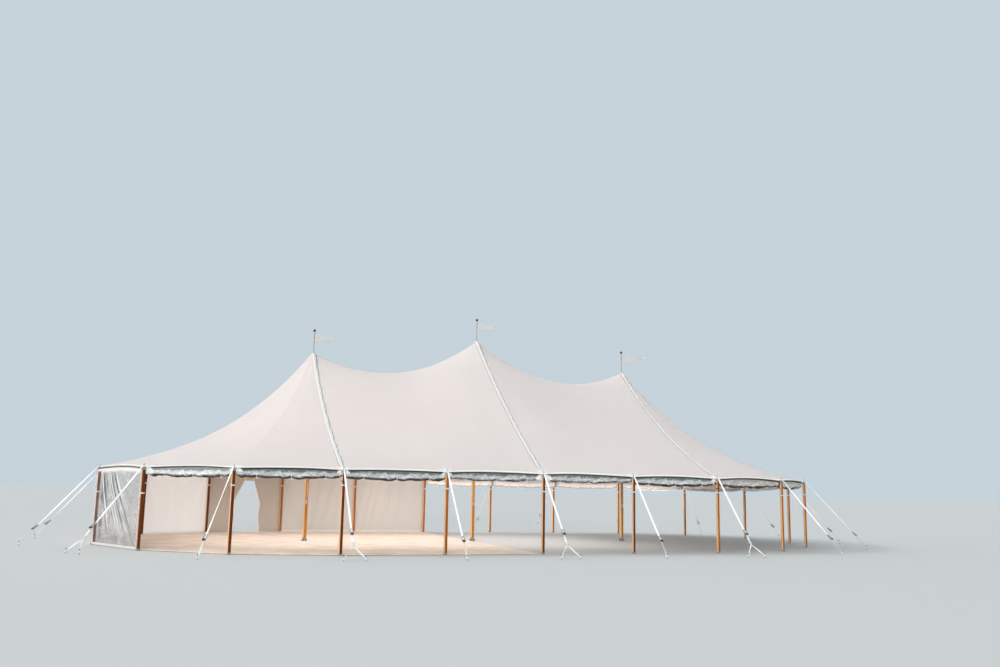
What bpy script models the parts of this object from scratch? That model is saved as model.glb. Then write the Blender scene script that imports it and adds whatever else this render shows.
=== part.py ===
"""Pole tent with three peaks: a straight run of four bays and a half-round end on each side.

Metres, +Z up. The origin is on the ground at the foot of the middle centre pole.
X runs along the tent, and the open front faces -Y.
"""
import math

import bmesh
import bpy
import numpy as np
from mathutils import Matrix, Vector

# Plan
BAY = 3.048                    # distance between side poles on the straight run
BAY_COUNT = 4                  # straight bays, two to each pair of centre poles
END_RADIUS = 6.80              # half-round ends, measured to the side poles
END_STEPS = 7                  # equal chords round one end

# Heights of the cloth, measured to its top face
EAVE_HEIGHT = 2.37
OUTER_PEAK = 6.54
MIDDLE_PEAK = 7.39
RIDGE_SAG = 0.94               # dip of the ridge between two peaks
EAVE_CAMBER = 0.07             # inward curve of the eave between two side poles
EAVE_RISE = 0.05               # upward curve of the eave between two side poles

# How hollow the cloth hangs between a peak and the eave (0 would be straight)
OUTER_SEAM_SLACK = 0.85
MIDDLE_SEAM_SLACK = 0.42
END_SLACK = 1.85

CLOTH_THICKNESS = 0.020
WALL_THICKNESS = 0.012
SEAM_GAP = 0.0005              # from the seam plane to the edge of each roof section
CLEARANCE = 0.0003             # between pieces that touch
EDGE_GAP = 0.0012              # from the spike of a side pole to the edge of the roof

# Side poles
SIDE_POLE_RADIUS = 0.053
SIDE_POLE_SIDES = 12
POLE_CAP_RADIUS = 0.056
POLE_CAP_HEIGHT = 0.07
SPIKE_RADIUS = 0.008
SPIKE_RISE = 0.125             # height of the spike over the pole's shoulder

# Centre poles
CENTRE_POLE_RADIUS = 0.065
CENTRE_HEAD_RADIUS = 0.070
CENTRE_HEAD_HEIGHT = 0.16
CENTRE_FOOT_RADIUS = 0.110
CENTRE_FOOT_HEIGHT = 0.020
CENTRE_POLE_SIDES = 24
HEAD_PROUD = 0.012             # the pole's head stands this far over the cloth

# Flagstaffs and pennants
STAFF_HEIGHT = 0.82
STAFF_RADIUS = 0.016
STAFF_SIDES = 12
STAFF_FLANGE_RADIUS = 0.050
STAFF_FLANGE_HEIGHT = 0.030
BALL_RADIUS = 0.045
BALL_STEPS = 6
PENNANT_LENGTH = 0.92
PENNANT_HOIST = 0.27
PENNANT_TIP = 0.035
PENNANT_THICKNESS = 0.008
PENNANT_WAVE = 0.045
PENNANT_WAVES = 1.3            # number of waves along the pennant
PENNANT_DROOP = 0.10
PENNANT_COLUMNS = 9
PENNANT_ROWS = 3

# Guys
GUY_RING_RADIUS = 0.030
GUY_RING_THICKNESS = 0.010
GUY_RING_LIFT = 0.045          # bottom of the ring over the cloth's top face
GUY_WIDTH = 0.050
GUY_THICKNESS = 0.008
GUY_REACH = 2.07               # from the pole to the stake
STAKE_RADIUS = 0.016
STAKE_HEIGHT = 0.15
STAKE_SIDES = 6
STRAP_ON_STAKE = 0.07          # height at which a strap meets its stake
FORK_HEIGHT = 0.38             # height at which a forked guy divides
FORK_SPREAD = 0.29             # from the guy's line to each of its two stakes
FORK_LAP = 0.020               # the line runs on past the fork
LEG_WIDTH = 0.038
LEG_LAP = 0.012                # each leg runs on past the fork and its stake
RATCHET_LENGTH = 0.20
RATCHET_WIDTH = 0.080
RATCHET_DEPTH = 0.050
RATCHET_AT = 0.80              # share of the way from the pole to the stake
FORKED_RATCHET_AT = 0.72

# Hanging walls and rolled walls
WALL_TOP_DROP = 0.070          # top edge of a hanging wall below the eave at a pole
WALL_FOOT = 0.010
WALL_ROWS = 3
ROLL_RADIUS = 0.095            # of a rolled clear wall
CLOTH_ROLL_RADIUS = 0.15       # of a rolled cloth wall, which is bulkier
ROLL_SAG = 0.045
ROLL_DROP = 0.012              # top of the roll below the cloth's lower face at a pole
ROLL_STEPS = 13
HEADER_THICKNESS = 0.012       # the strip that a rolled wall hangs by, against the side poles
HEADER_DROP = 0.004            # its top edge below the cloth's lower face

# Doorway, measured along the wall from the bay's left pole as seen from inside
DOOR_LEFT = 0.91
DOOR_RIGHT = 1.94
DOOR_PEAK_AT = 1.55
DOOR_PEAK_WIDTH = 0.12
DOOR_PEAK_DROP = 0.18          # top of the doorway below the top edge of the wall
DOOR_TIE_HEIGHT = 1.12
DOOR_CUT_BELOW = 0.2           # the cut runs on below the wall's foot
DOOR_CUT_DEPTH = 0.4           # and to each side of the line of poles

# Floor under the left half
FLOOR_THICKNESS = 0.030
FLOOR_POLE_HOLE = 0.125

# Smoothness of the lofted cloth
CHORD_SEGMENTS = 4
SLOPE_ROWS = 8
SLOPE_GRADING = 1.25           # over 1, rows lie closer together near a peak
END_BLEND_POWER = 4            # how soon the end's slack leaves the seam's
NOTCH_STEPS = 3
SHARP_ANGLE = math.radians(35)
MERGE_DISTANCE = 0.000001

STRAIGHT_HALF = BAY * BAY_COUNT / 2
END_ANGLE = math.pi / END_STEPS
SHOULDER_HEIGHT = EAVE_HEIGHT - CLOTH_THICKNESS - CLEARANCE
EAVE_INSET = SPIKE_RADIUS + EDGE_GAP
DOOR_PEAK_HEIGHT = EAVE_HEIGHT - WALL_TOP_DROP - DOOR_PEAK_DROP
NOTCH_RADIUS = (CENTRE_HEAD_RADIUS + CLEARANCE) / math.cos(math.pi / (4 * NOTCH_STEPS))

PEAKS = {
    "left": (-STRAIGHT_HALF, OUTER_PEAK, OUTER_SEAM_SLACK),
    "middle": (0.0, MIDDLE_PEAK, MIDDLE_SEAM_SLACK),
    "right": (STRAIGHT_HALF, OUTER_PEAK, OUTER_SEAM_SLACK),
}


def clear_scene():
    for old in list(bpy.data.objects):
        bpy.data.objects.remove(old, do_unlink=True)


def make_collection(name):
    collection = bpy.data.collections.new(name)
    bpy.context.scene.collection.children.link(collection)
    return collection


def make_material(name, colour, roughness, metallic=0.0, alpha=1.0):
    material = bpy.data.materials.new(name)
    material.use_nodes = True
    shader = material.node_tree.nodes["Principled BSDF"]
    shader.inputs["Base Color"].default_value = (*colour, 1.0)
    shader.inputs["Roughness"].default_value = roughness
    shader.inputs["Metallic"].default_value = metallic
    shader.inputs["Alpha"].default_value = alpha
    return material


clear_scene()
TENT = make_collection("pole_tent")
CUTTERS = make_collection("cutters")
SAILCLOTH = make_material("sailcloth", (0.80, 0.76, 0.73), 0.75)
WALL_CLOTH = make_material("wall_cloth", (0.82, 0.80, 0.77), 0.80)
CLEAR_FILM = make_material("clear_film", (0.72, 0.76, 0.77), 0.15, alpha=0.45)
VARNISHED_WOOD = make_material("varnished_wood", (0.50, 0.24, 0.08), 0.45)
WEBBING = make_material("webbing", (0.85, 0.85, 0.83), 0.85)
FLOOR_BOARDS = make_material("floor_boards", (0.60, 0.48, 0.36), 0.70)
STEEL = make_material("steel", (0.62, 0.63, 0.64), 0.40, metallic=0.8)


def add_mesh(name, mesh, material, collection=TENT):
    piece = bpy.data.objects.new(name, mesh)
    if not mesh.materials:
        mesh.materials.append(material)
    collection.objects.link(piece)
    return piece


def shade(mesh):
    mesh.shade_smooth()
    mesh.set_sharp_from_angle(angle=SHARP_ANGLE)


def evaluated_mesh(piece, name):
    """The piece with its modifiers applied, as a new mesh whose doubles are merged."""
    graph = bpy.context.evaluated_depsgraph_get()
    mesh = bpy.data.meshes.new_from_object(piece.evaluated_get(graph))
    mesh.name = name
    work = bmesh.new()
    work.from_mesh(mesh)
    bmesh.ops.remove_doubles(work, verts=work.verts, dist=MERGE_DISTANCE)
    bmesh.ops.recalc_face_normals(work, faces=work.faces)
    work.to_mesh(mesh)
    work.free()
    return mesh


def turned(name, profile, sides, material, collection=TENT, closed=False):
    """A profile of (radius, height) points, top to bottom, turned about Z."""
    mesh = bpy.data.meshes.new(name)
    points = [(radius, 0.0, height) for radius, height in profile]
    edges = [(i, i + 1) for i in range(len(points) - 1)]
    if closed:
        edges.append((len(points) - 1, 0))
    mesh.from_pydata(points, edges, [])
    piece = add_mesh(name, mesh, material, collection)
    screw = piece.modifiers.new("turn", "SCREW")
    screw.steps = sides
    screw.render_steps = sides
    screw.use_merge_vertices = True
    screw.merge_threshold = MERGE_DISTANCE
    screw.use_smooth_shade = True
    return piece


def solid_from_faces(name, points, faces, material, collection=TENT):
    """A closed lofted solid with its faces turned outward."""
    mesh = bpy.data.meshes.new(name)
    mesh.from_pydata(points.tolist(), [], faces)
    work = bmesh.new()
    work.from_mesh(mesh)
    bmesh.ops.recalc_face_normals(work, faces=work.faces)
    work.to_mesh(mesh)
    work.free()
    shade(mesh)
    return add_mesh(name, mesh, material, collection)


def cloth_solid(name, top, drop, material, collection=TENT):
    """A closed sheet lofted between two unlike curves.

    top is a grid of points, and drop is the grid of offsets to the other face, so the edges
    of two neighbouring sheets stay in one upright plane.
    """
    rows, columns = top.shape[:2]
    points = np.concatenate([top.reshape(-1, 3), (top + drop).reshape(-1, 3)])
    index = np.arange(rows * columns).reshape(rows, columns)
    under = index + rows * columns
    faces = np.stack([index[:-1, :-1], index[:-1, 1:], index[1:, 1:], index[1:, :-1]], -1)
    backs = np.stack([under[:-1, :-1], under[1:, :-1], under[1:, 1:], under[:-1, 1:]], -1)
    quads = [faces.reshape(-1, 4), backs.reshape(-1, 4)]
    for edge, other in (
        (index[0], under[0]),
        (index[:, -1], under[:, -1]),
        (index[-1, ::-1], under[-1, ::-1]),
        (index[::-1, 0], under[::-1, 0]),
    ):
        quads.append(np.stack([edge[1:], edge[:-1], other[:-1], other[1:]], -1))
    return solid_from_faces(name, points, np.concatenate(quads).tolist(), material, collection)


def tube_solid(name, rings, material):
    """A closed solid lofted through unlike rings of points, with flat ends."""
    count, sides = rings.shape[:2]
    index = np.arange(count * sides).reshape(count, sides)
    ahead = np.roll(index, -1, axis=1)
    faces = np.stack([index[:-1], ahead[:-1], ahead[1:], index[1:]], -1).reshape(-1, 4).tolist()
    faces.append(index[0].tolist())
    faces.append(index[-1, ::-1].tolist())
    return solid_from_faces(name, rings.reshape(-1, 3), faces, material)


def union(piece, others):
    """Joins overlapping solids into one body, and removes the others."""
    for other in others:
        join = piece.modifiers.new("join_" + other.name, "BOOLEAN")
        join.operation = "UNION"
        join.solver = "EXACT"
        join.object = other
    mesh = evaluated_mesh(piece, piece.name)
    piece.modifiers.clear()
    piece.data = mesh
    for other in others:
        bpy.data.objects.remove(other, do_unlink=True)


def primitive(name, add, location, turn, scale, material, collection=CUTTERS):
    """A Blender primitive with its scale applied, placed by location and rotation."""
    add()
    piece = bpy.context.active_object
    piece.name = name
    piece.data.name = name
    piece.data.transform(Matrix.Diagonal((*scale, 1.0)))
    piece.matrix_world = Matrix.Translation(location) @ turn.to_4x4()
    piece.data.materials.append(material)
    for old in list(piece.users_collection):
        old.objects.unlink(piece)
    collection.objects.link(piece)
    bpy.context.view_layer.update()
    return piece


def box(name, location, turn, size, material):
    def add():
        bpy.ops.mesh.primitive_cube_add(size=1.0)

    return primitive(name, add, location, turn, size, material)


def rod(name, location, turn, radius, length, sides, material):
    def add():
        bpy.ops.mesh.primitive_cylinder_add(vertices=sides, radius=1.0, depth=1.0)

    return primitive(name, add, location, turn, (radius, radius, length), material)


def side_pole_places():
    """Place and outward angle of each side pole, anticlockwise from the front left corner."""
    places = []
    for i in range(BAY_COUNT + 1):
        places.append((-STRAIGHT_HALF + i * BAY, -END_RADIUS, -math.pi / 2))
    for i in range(1, END_STEPS):
        angle = -math.pi / 2 + i * END_ANGLE
        x = STRAIGHT_HALF + END_RADIUS * math.cos(angle)
        places.append((x, END_RADIUS * math.sin(angle), angle))
    for i in range(BAY_COUNT + 1):
        places.append((STRAIGHT_HALF - i * BAY, END_RADIUS, math.pi / 2))
    for i in range(1, END_STEPS):
        angle = math.pi / 2 + i * END_ANGLE
        x = -STRAIGHT_HALF + END_RADIUS * math.cos(angle)
        places.append((x, END_RADIUS * math.sin(angle), angle))
    return places


POLES = side_pole_places()
FRONT_LEFT = 0
FRONT_RIGHT = BAY_COUNT
BACK_RIGHT = FRONT_RIGHT + END_STEPS
BACK_LEFT = BACK_RIGHT + BAY_COUNT

# The roof's edge, by place round the tent: a point of the eave and the next point up the slope
EAVE = {}


def pole_point(number, outward):
    """A point beside a side pole, moved outward from its axis. Numbers run round the tent."""
    x, y, angle = POLES[number % len(POLES)]
    return np.array([x + outward * math.cos(angle), y + outward * math.sin(angle)])


def beside_poles(numbers, outward):
    """Points beside side poles, each moved outward from its pole's axis."""
    return np.array([pole_point(number, outward) for number in numbers])


def line_beside_poles(numbers, distance):
    """Corners of a line that passes the side poles at one distance from their axes."""
    corners = []
    for number in numbers:
        before = pole_point(number, 0.0) - pole_point(number - 1, 0.0)
        after = pole_point(number + 1, 0.0) - pole_point(number, 0.0)
        turn = math.acos(min(1.0, before @ after / np.linalg.norm(before) / np.linalg.norm(after)))
        mitre = np.array([before[1], -before[0]]) / np.linalg.norm(before)
        mitre = mitre + np.array([after[1], -after[0]]) / np.linalg.norm(after)
        mitre = mitre / np.linalg.norm(mitre)
        corners.append(pole_point(number, 0.0) + mitre * distance / math.cos(turn / 2))
    return np.array(corners)


def chord_points(corners, bow, segments):
    """Points from corner to corner, with an inward bow between each pair, and the bow's share."""
    points = []
    shares = []
    for start, end in zip(corners[:-1], corners[1:]):
        along = end - start
        inward = np.array([-along[1], along[0]]) / np.linalg.norm(along)
        middle = (start + end) / 2
        if inward @ (np.array([np.clip(middle[0], -STRAIGHT_HALF, STRAIGHT_HALF), 0.0]) - middle) < 0:
            inward = -inward
        for step in range(segments):
            share = step / segments
            arch = 4 * share * (1 - share)
            points.append(start + along * share + inward * bow * arch)
            shares.append(arch)
    points.append(corners[-1])
    shares.append(0.0)
    return np.array(points), np.array(shares)


def hang(t, slack):
    """Height share of hanging cloth: 1 at the peak (t=0), 0 at the eave (t=1).

    It is (exp(-slack t) - exp(-slack)) / (1 - exp(-slack)).
    """
    return (np.exp(-slack * t) - np.exp(-slack)) / (1 - np.exp(-slack))


def note_eave(first, edge, inner):
    """Keeps the eave points from one side pole on, and the points one row up the slope."""
    for step, pair in enumerate(zip(edge, inner)):
        EAVE[(first * CHORD_SEGMENTS + step) % (len(POLES) * CHORD_SEGMENTS)] = pair


def make_roof_bay(name, left, right):
    """The roof between two centre poles, from the front eave over the ridge to the back one."""
    x_left, peak_left, slack_left = PEAKS[left]
    x_right, peak_right, slack_right = PEAKS[right]
    first = round((x_left + STRAIGHT_HALF) / BAY)
    last = round((x_right + STRAIGHT_HALF) / BAY)
    numbers = list(range(first, last + 1))
    eave, arch = chord_points(beside_poles(numbers, -EAVE_INSET), EAVE_CAMBER, CHORD_SEGMENTS)
    half_width = END_RADIUS - EAVE_INSET
    notch = NOTCH_RADIUS * np.sin(np.linspace(0, math.pi / 2, NOTCH_STEPS + 1))
    slope = np.linspace(0, 1, SLOPE_ROWS + 1)[1:] ** SLOPE_GRADING
    reach = np.concatenate([notch, NOTCH_RADIUS + (half_width - NOTCH_RADIUS) * slope])
    away = np.concatenate([-reach[::-1], reach[1:]])
    y_row = np.abs(away)[:, None]
    t = np.clip((y_row - NOTCH_RADIUS) / (half_width - NOTCH_RADIUS), 0, 1)
    u = ((eave[:, 0] - x_left) / (x_right - x_left))[None, :]
    inset = np.maximum(SEAM_GAP, np.sqrt(np.clip(NOTCH_RADIUS ** 2 - y_row ** 2, 0, None)))
    x = x_left + inset + u * (x_right - x_left - 2 * inset)
    y = np.sign(away)[:, None] * y_row * (np.abs(eave[:, 1]) / half_width)[None, :]
    eave_z = (EAVE_HEIGHT + EAVE_RISE * arch)[None, :]
    seams = (1 - u) * (peak_left - eave_z) * hang(t, slack_left)
    seams = seams + u * (peak_right - eave_z) * hang(t, slack_right)
    steepness = 0.5 * (
        (peak_left - EAVE_HEIGHT) * slack_left / (1 - math.exp(-slack_left))
        + (peak_right - EAVE_HEIGHT) * slack_right / (1 - math.exp(-slack_right))
    )
    middle = 4 * u * (1 - u)
    sag = middle * RIDGE_SAG * hang(t, steepness / RIDGE_SAG * (2 - middle))
    top = np.stack([x, y, eave_z + seams - sag], -1)
    note_eave(first, top[0], top[1])
    note_eave(BACK_LEFT - last, top[-1, ::-1], top[-2, ::-1])
    drop = np.zeros_like(top)
    drop[..., 2] = -CLOTH_THICKNESS
    return cloth_solid(name, top, drop, SAILCLOTH)


def make_roof_end(name, peak, side):
    """The half-round roof outside an outer centre pole, seam to seam. side is -1 or 1."""
    x_peak, peak_height, slack_seam = PEAKS[peak]
    first = BACK_LEFT if side < 0 else FRONT_RIGHT
    numbers = list(range(first, first + END_STEPS + 1))
    eave, arch = chord_points(beside_poles(numbers, -EAVE_INSET), EAVE_CAMBER, CHORD_SEGMENTS)
    centre = np.array([x_peak + side * SEAM_GAP, 0.0])
    eave = eave + np.array([side * SEAM_GAP, 0.0])
    turn = np.linspace(0, math.pi, len(eave)) + (math.pi / 2 if side < 0 else -math.pi / 2)
    ring = centre + NOTCH_RADIUS * np.stack([np.cos(turn), np.sin(turn)], -1)
    ring[[0, -1], 0] = centre[0]
    t = (np.linspace(0, 1, SLOPE_ROWS + 1) ** SLOPE_GRADING)[:, None]
    flat = ring[None] * (1 - t[..., None]) + eave[None] * t[..., None]
    slack = END_SLACK + (slack_seam - END_SLACK) * np.abs(np.sin(turn)) ** END_BLEND_POWER
    eave_z = (EAVE_HEIGHT + EAVE_RISE * arch)[None, :]
    z = eave_z + (peak_height - eave_z) * hang(t, slack[None, :])
    top = np.concatenate([flat, z[..., None]], -1)
    note_eave(first, top[-1], top[-2])
    drop = np.zeros_like(top)
    drop[..., 2] = -CLOTH_THICKNESS
    return cloth_solid(name, top, drop, SAILCLOTH)


def make_side_poles():
    tip = SHOULDER_HEIGHT + SPIKE_RISE
    profile = [
        (0.0, tip),
        (SPIKE_RADIUS, tip - SPIKE_RADIUS),
        (SPIKE_RADIUS, SHOULDER_HEIGHT),
        (POLE_CAP_RADIUS, SHOULDER_HEIGHT),
        (POLE_CAP_RADIUS, SHOULDER_HEIGHT - POLE_CAP_HEIGHT),
        (SIDE_POLE_RADIUS, SHOULDER_HEIGHT - POLE_CAP_HEIGHT),
        (SIDE_POLE_RADIUS, 0.0),
        (0.0, 0.0),
    ]
    pattern = turned("pole_pattern", profile, SIDE_POLE_SIDES, VARNISHED_WOOD, CUTTERS)
    mesh = evaluated_mesh(pattern, "side_pole")
    bpy.data.objects.remove(pattern, do_unlink=True)
    shade(mesh)
    for number, (x, y, angle) in enumerate(POLES, 1):
        pole = add_mesh(f"side_pole_{number:02d}", mesh, VARNISHED_WOOD)
        pole.location = (x, y, 0.0)
        pole.rotation_euler = (0.0, 0.0, angle)


def make_centre_pole(name, peak):
    x, height, _ = PEAKS[peak]
    head_top = height + HEAD_PROUD
    profile = [
        (0.0, head_top),
        (CENTRE_HEAD_RADIUS, head_top),
        (CENTRE_HEAD_RADIUS, head_top - CENTRE_HEAD_HEIGHT),
        (CENTRE_POLE_RADIUS, head_top - CENTRE_HEAD_HEIGHT),
        (CENTRE_POLE_RADIUS, CENTRE_FOOT_HEIGHT),
        (CENTRE_FOOT_RADIUS, CENTRE_FOOT_HEIGHT),
        (CENTRE_FOOT_RADIUS, 0.0),
        (0.0, 0.0),
    ]
    pole = turned(name, profile, CENTRE_POLE_SIDES, VARNISHED_WOOD)
    pole.location = (x, 0.0, 0.0)


def make_flag(name, peak):
    """A steel staff with a ball on top, and its wind-blown pennant, as one body."""
    x, height, _ = PEAKS[peak]
    base = height + HEAD_PROUD + CLEARANCE
    ball_centre = STAFF_HEIGHT
    start = math.asin(STAFF_RADIUS / BALL_RADIUS)
    arc = np.linspace(math.pi, start, BALL_STEPS)
    profile = [
        (BALL_RADIUS * math.sin(a), ball_centre - BALL_RADIUS * math.cos(a)) for a in arc
    ]
    profile[0] = (0.0, ball_centre + BALL_RADIUS)
    profile += [
        (STAFF_RADIUS, STAFF_FLANGE_HEIGHT),
        (STAFF_FLANGE_RADIUS, STAFF_FLANGE_HEIGHT),
        (STAFF_FLANGE_RADIUS, 0.0),
        (0.0, 0.0),
    ]
    staff = turned(name, profile, STAFF_SIDES, STEEL)
    along = np.linspace(0, 1, PENNANT_COLUMNS)[None, :]
    across = np.linspace(0, 1, PENNANT_ROWS)[:, None]
    hoist_top = ball_centre - 2 * BALL_RADIUS
    width = PENNANT_HOIST + (PENNANT_TIP - PENNANT_HOIST) * along
    middle = hoist_top - PENNANT_HOIST / 2 - PENNANT_DROOP * along ** 2
    wave = PENNANT_WAVE * along * np.sin(2 * math.pi * PENNANT_WAVES * along)
    top = np.stack([
        along * PENNANT_LENGTH + 0 * across,
        wave - PENNANT_THICKNESS / 2 + 0 * across,
        middle + (across - 0.5) * width,
    ], -1)
    drop = np.zeros_like(top)
    drop[..., 1] = PENNANT_THICKNESS
    pennant = cloth_solid(name + "_cloth", top, drop, WALL_CLOTH, CUTTERS)
    union(staff, [pennant])
    staff.location = (x, 0.0, base)


def strap(name, start, end, width, lap=0.0):
    """A flat strap between two points, its width level, run on past both by a lap."""
    along = (end - start).normalized()
    start = start - along * lap
    end = end + along * lap
    level = Vector((0, 0, 1)).cross(along).normalized()
    turn = Matrix((along, level, along.cross(level))).transposed()
    size = ((end - start).length, width, GUY_THICKNESS)
    return box(name, (start + end) / 2, turn, size, WEBBING)


def guy_mesh(forked):
    """One guy in its own frame: the pole's axis on Z, the stake towards +X."""
    ring_bottom = EAVE_HEIGHT + GUY_RING_LIFT
    ring_top = ring_bottom + GUY_RING_THICKNESS
    hole_radius = SPIKE_RADIUS + CLEARANCE
    profile = [
        (GUY_RING_RADIUS, ring_top), (GUY_RING_RADIUS, ring_bottom),
        (hole_radius, ring_bottom), (hole_radius, ring_top),
    ]
    ring = turned("guy", profile, SIDE_POLE_SIDES, WEBBING, CUTTERS, closed=True)
    no_turn = Matrix.Identity(3)
    start = Vector((hole_radius + GUY_THICKNESS / 2, 0, (ring_bottom + ring_top) / 2))
    foot = Vector((GUY_REACH, 0, STRAP_ON_STAKE))
    pieces = []
    if forked:
        fork = start.lerp(foot, (start.z - FORK_HEIGHT) / (start.z - foot.z))
        pieces.append(strap("line", start, fork + (foot - start).normalized() * FORK_LAP, GUY_WIDTH))
        stakes = [Vector((GUY_REACH, side * FORK_SPREAD, STRAP_ON_STAKE)) for side in (-1, 1)]
        for stake in stakes:
            pieces.append(strap("leg", fork, stake, LEG_WIDTH, LEG_LAP))
    else:
        pieces.append(strap("line", start, foot, GUY_WIDTH))
        stakes = [foot]
    for stake in stakes:
        centre = (stake.x, stake.y, STAKE_HEIGHT / 2)
        pieces.append(rod("stake", centre, no_turn, STAKE_RADIUS, STAKE_HEIGHT, STAKE_SIDES, STEEL))
    line = foot - start
    level = Vector((0, 1, 0))
    along = line.normalized()
    turn = Matrix((along, level, along.cross(level))).transposed()
    share = FORKED_RATCHET_AT if forked else RATCHET_AT
    size = (RATCHET_LENGTH, RATCHET_WIDTH, RATCHET_DEPTH)
    pieces.append(box("ratchet", start + line * share, turn, size, STEEL))
    union(ring, pieces)
    mesh = ring.data
    mesh.name = "forked_guy" if forked else "single_guy"
    bpy.data.objects.remove(ring, do_unlink=True)
    return mesh


def make_guys():
    """A guy at each side pole. Those at the seams, and two at the left end, are forked."""
    seam_step = BAY_COUNT // 2
    forked = {FRONT_LEFT + i * seam_step for i in range(3)}
    forked |= {BACK_RIGHT + i * seam_step for i in range(3)}
    forked |= {BACK_LEFT + 2, BACK_LEFT + END_STEPS - 2}
    meshes = {choice: guy_mesh(choice) for choice in (False, True)}
    for number, (x, y, angle) in enumerate(POLES):
        guy = add_mesh(f"guy_{number + 1:02d}", meshes[number in forked], WEBBING)
        guy.location = (x, y, 0.0)
        guy.rotation_euler = (0.0, 0.0, angle)


def trim_ends(points, gap):
    """Pulls the first and last point along the path by a small gap."""
    points = points.copy()
    for end, near in ((0, 1), (-1, -2)):
        step = points[near] - points[end]
        points[end] += step / np.linalg.norm(step) * gap
    return points


def make_hanging_wall(name, numbers, material):
    """A wall from the eave to the ground, outside the side poles."""
    distance = POLE_CAP_RADIUS + CLEARANCE
    outer, arch = chord_points(line_beside_poles(numbers, distance + WALL_THICKNESS), 0.0, CHORD_SEGMENTS)
    inner, _ = chord_points(line_beside_poles(numbers, distance), 0.0, CHORD_SEGMENTS)
    outer = trim_ends(outer, CLEARANCE / 2)
    inner = trim_ends(inner, CLEARANCE / 2)
    rise = np.linspace(0, 1, WALL_ROWS)[:, None]
    height = EAVE_HEIGHT - WALL_TOP_DROP + EAVE_RISE * arch[None, :] - WALL_FOOT
    z = WALL_FOOT + height * rise
    top = np.stack([outer[None, :, 0] + 0 * rise, outer[None, :, 1] + 0 * rise, z], -1)
    drop = np.zeros_like(top)
    drop[..., :2] = (inner - outer)[None]
    return cloth_solid(name, top, drop, material)


def cut_doorway(wall, near, far):
    """Cuts the tied-back doorway through the bay between two poles, near on the left inside."""
    start = pole_point(near, 0.0)
    end = pole_point(far, 0.0)
    along = (end - start) / np.linalg.norm(end - start)
    outline = [
        (DOOR_LEFT, -DOOR_CUT_BELOW), (DOOR_RIGHT, -DOOR_CUT_BELOW), (DOOR_RIGHT, DOOR_TIE_HEIGHT),
        (DOOR_PEAK_AT + DOOR_PEAK_WIDTH / 2, DOOR_PEAK_HEIGHT),
        (DOOR_PEAK_AT - DOOR_PEAK_WIDTH / 2, DOOR_PEAK_HEIGHT), (DOOR_LEFT, DOOR_TIE_HEIGHT),
    ]
    curve = bpy.data.curves.new("doorway_outline", "CURVE")
    curve.dimensions = "2D"
    curve.fill_mode = "BOTH"
    curve.extrude = DOOR_CUT_DEPTH
    spline = curve.splines.new("POLY")
    spline.points.add(len(outline) - 1)
    for point, (x, y) in zip(spline.points, outline):
        point.co = (x, y, 0.0, 1.0)
    spline.use_cyclic_u = True
    guide = bpy.data.objects.new("doorway_guide", curve)
    CUTTERS.objects.link(guide)
    side = Vector((along[0], along[1], 0.0))
    up = Vector((0, 0, 1))
    turn = Matrix((side, up, side.cross(up))).transposed().to_4x4()
    guide.matrix_world = Matrix.Translation((start[0], start[1], 0.0)) @ turn
    bpy.context.view_layer.update()
    cutter = bpy.data.objects.new("doorway_cutter", evaluated_mesh(guide, "doorway_cutter"))
    CUTTERS.objects.link(cutter)
    cutter.matrix_world = guide.matrix_world.copy()
    bpy.data.objects.remove(guide, do_unlink=True)
    cutter.hide_render = True
    cutter.display_type = "WIRE"
    cut = wall.modifiers.new("doorway", "BOOLEAN")
    cut.operation = "DIFFERENCE"
    cut.solver = "EXACT"
    cut.object = cutter


def make_rolled_wall(name, first, last, material, cloth_from=math.inf):
    """Rolled-up walls inside the side poles, hung from the eave by a flat header strip.

    From side pole cloth_from on they are cloth, and over the bay before it the roll thickens.
    """
    places = np.arange(first * CHORD_SEGMENTS, last * CHORD_SEGMENTS + 1)
    edge = np.array([EAVE[place % len(EAVE)][0] for place in places])
    inner = np.array([EAVE[place % len(EAVE)][1] for place in places])
    run = np.linalg.norm((inner - edge)[:, :2], axis=1)
    inward = (inner - edge)[:, :2] / run[:, None]
    slope = (inner - edge)[:, 2] / run
    share = (places % CHORD_SEGMENTS) / CHORD_SEGMENTS
    arch = 4 * share * (1 - share)
    bulk = np.clip(places / CHORD_SEGMENTS - cloth_from + 1, 0, 1)
    radius = (ROLL_RADIUS + (CLOTH_ROLL_RADIUS - ROLL_RADIUS) * bulk)[:, None]
    outer_face = POLE_CAP_RADIUS + CLEARANCE + SEAM_GAP - EAVE_INSET
    inner_face = outer_face + HEADER_THICKNESS
    axis = outer_face + radius
    axis_z = EAVE_HEIGHT - CLOTH_THICKNESS - ROLL_DROP - radius - ROLL_SAG * arch[:, None]
    top_z = (edge[:, 2] - CLOTH_THICKNESS - HEADER_DROP)[:, None]
    slope = slope[:, None]
    meeting = np.arccos((inner_face - axis) / radius)
    turns = math.pi + (math.pi + meeting) * np.linspace(0, 1, ROLL_STEPS)
    strip = np.broadcast_to([inner_face, outer_face], (len(edge), 2))
    away = np.concatenate([strip, axis + radius * np.cos(turns)], 1)
    height = np.concatenate([top_z + slope * strip, axis_z + radius * np.sin(turns)], 1)
    flat = edge[:, None, :2] + inward[:, None, :] * away[..., None]
    for end, near in ((0, 1), (-1, -2)):
        step = (edge[near] - edge[end])[:2]
        flat[end] += step / np.linalg.norm(step) * CLEARANCE / 2
    return tube_solid(name, np.concatenate([flat, height[..., None]], -1), material)


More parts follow.
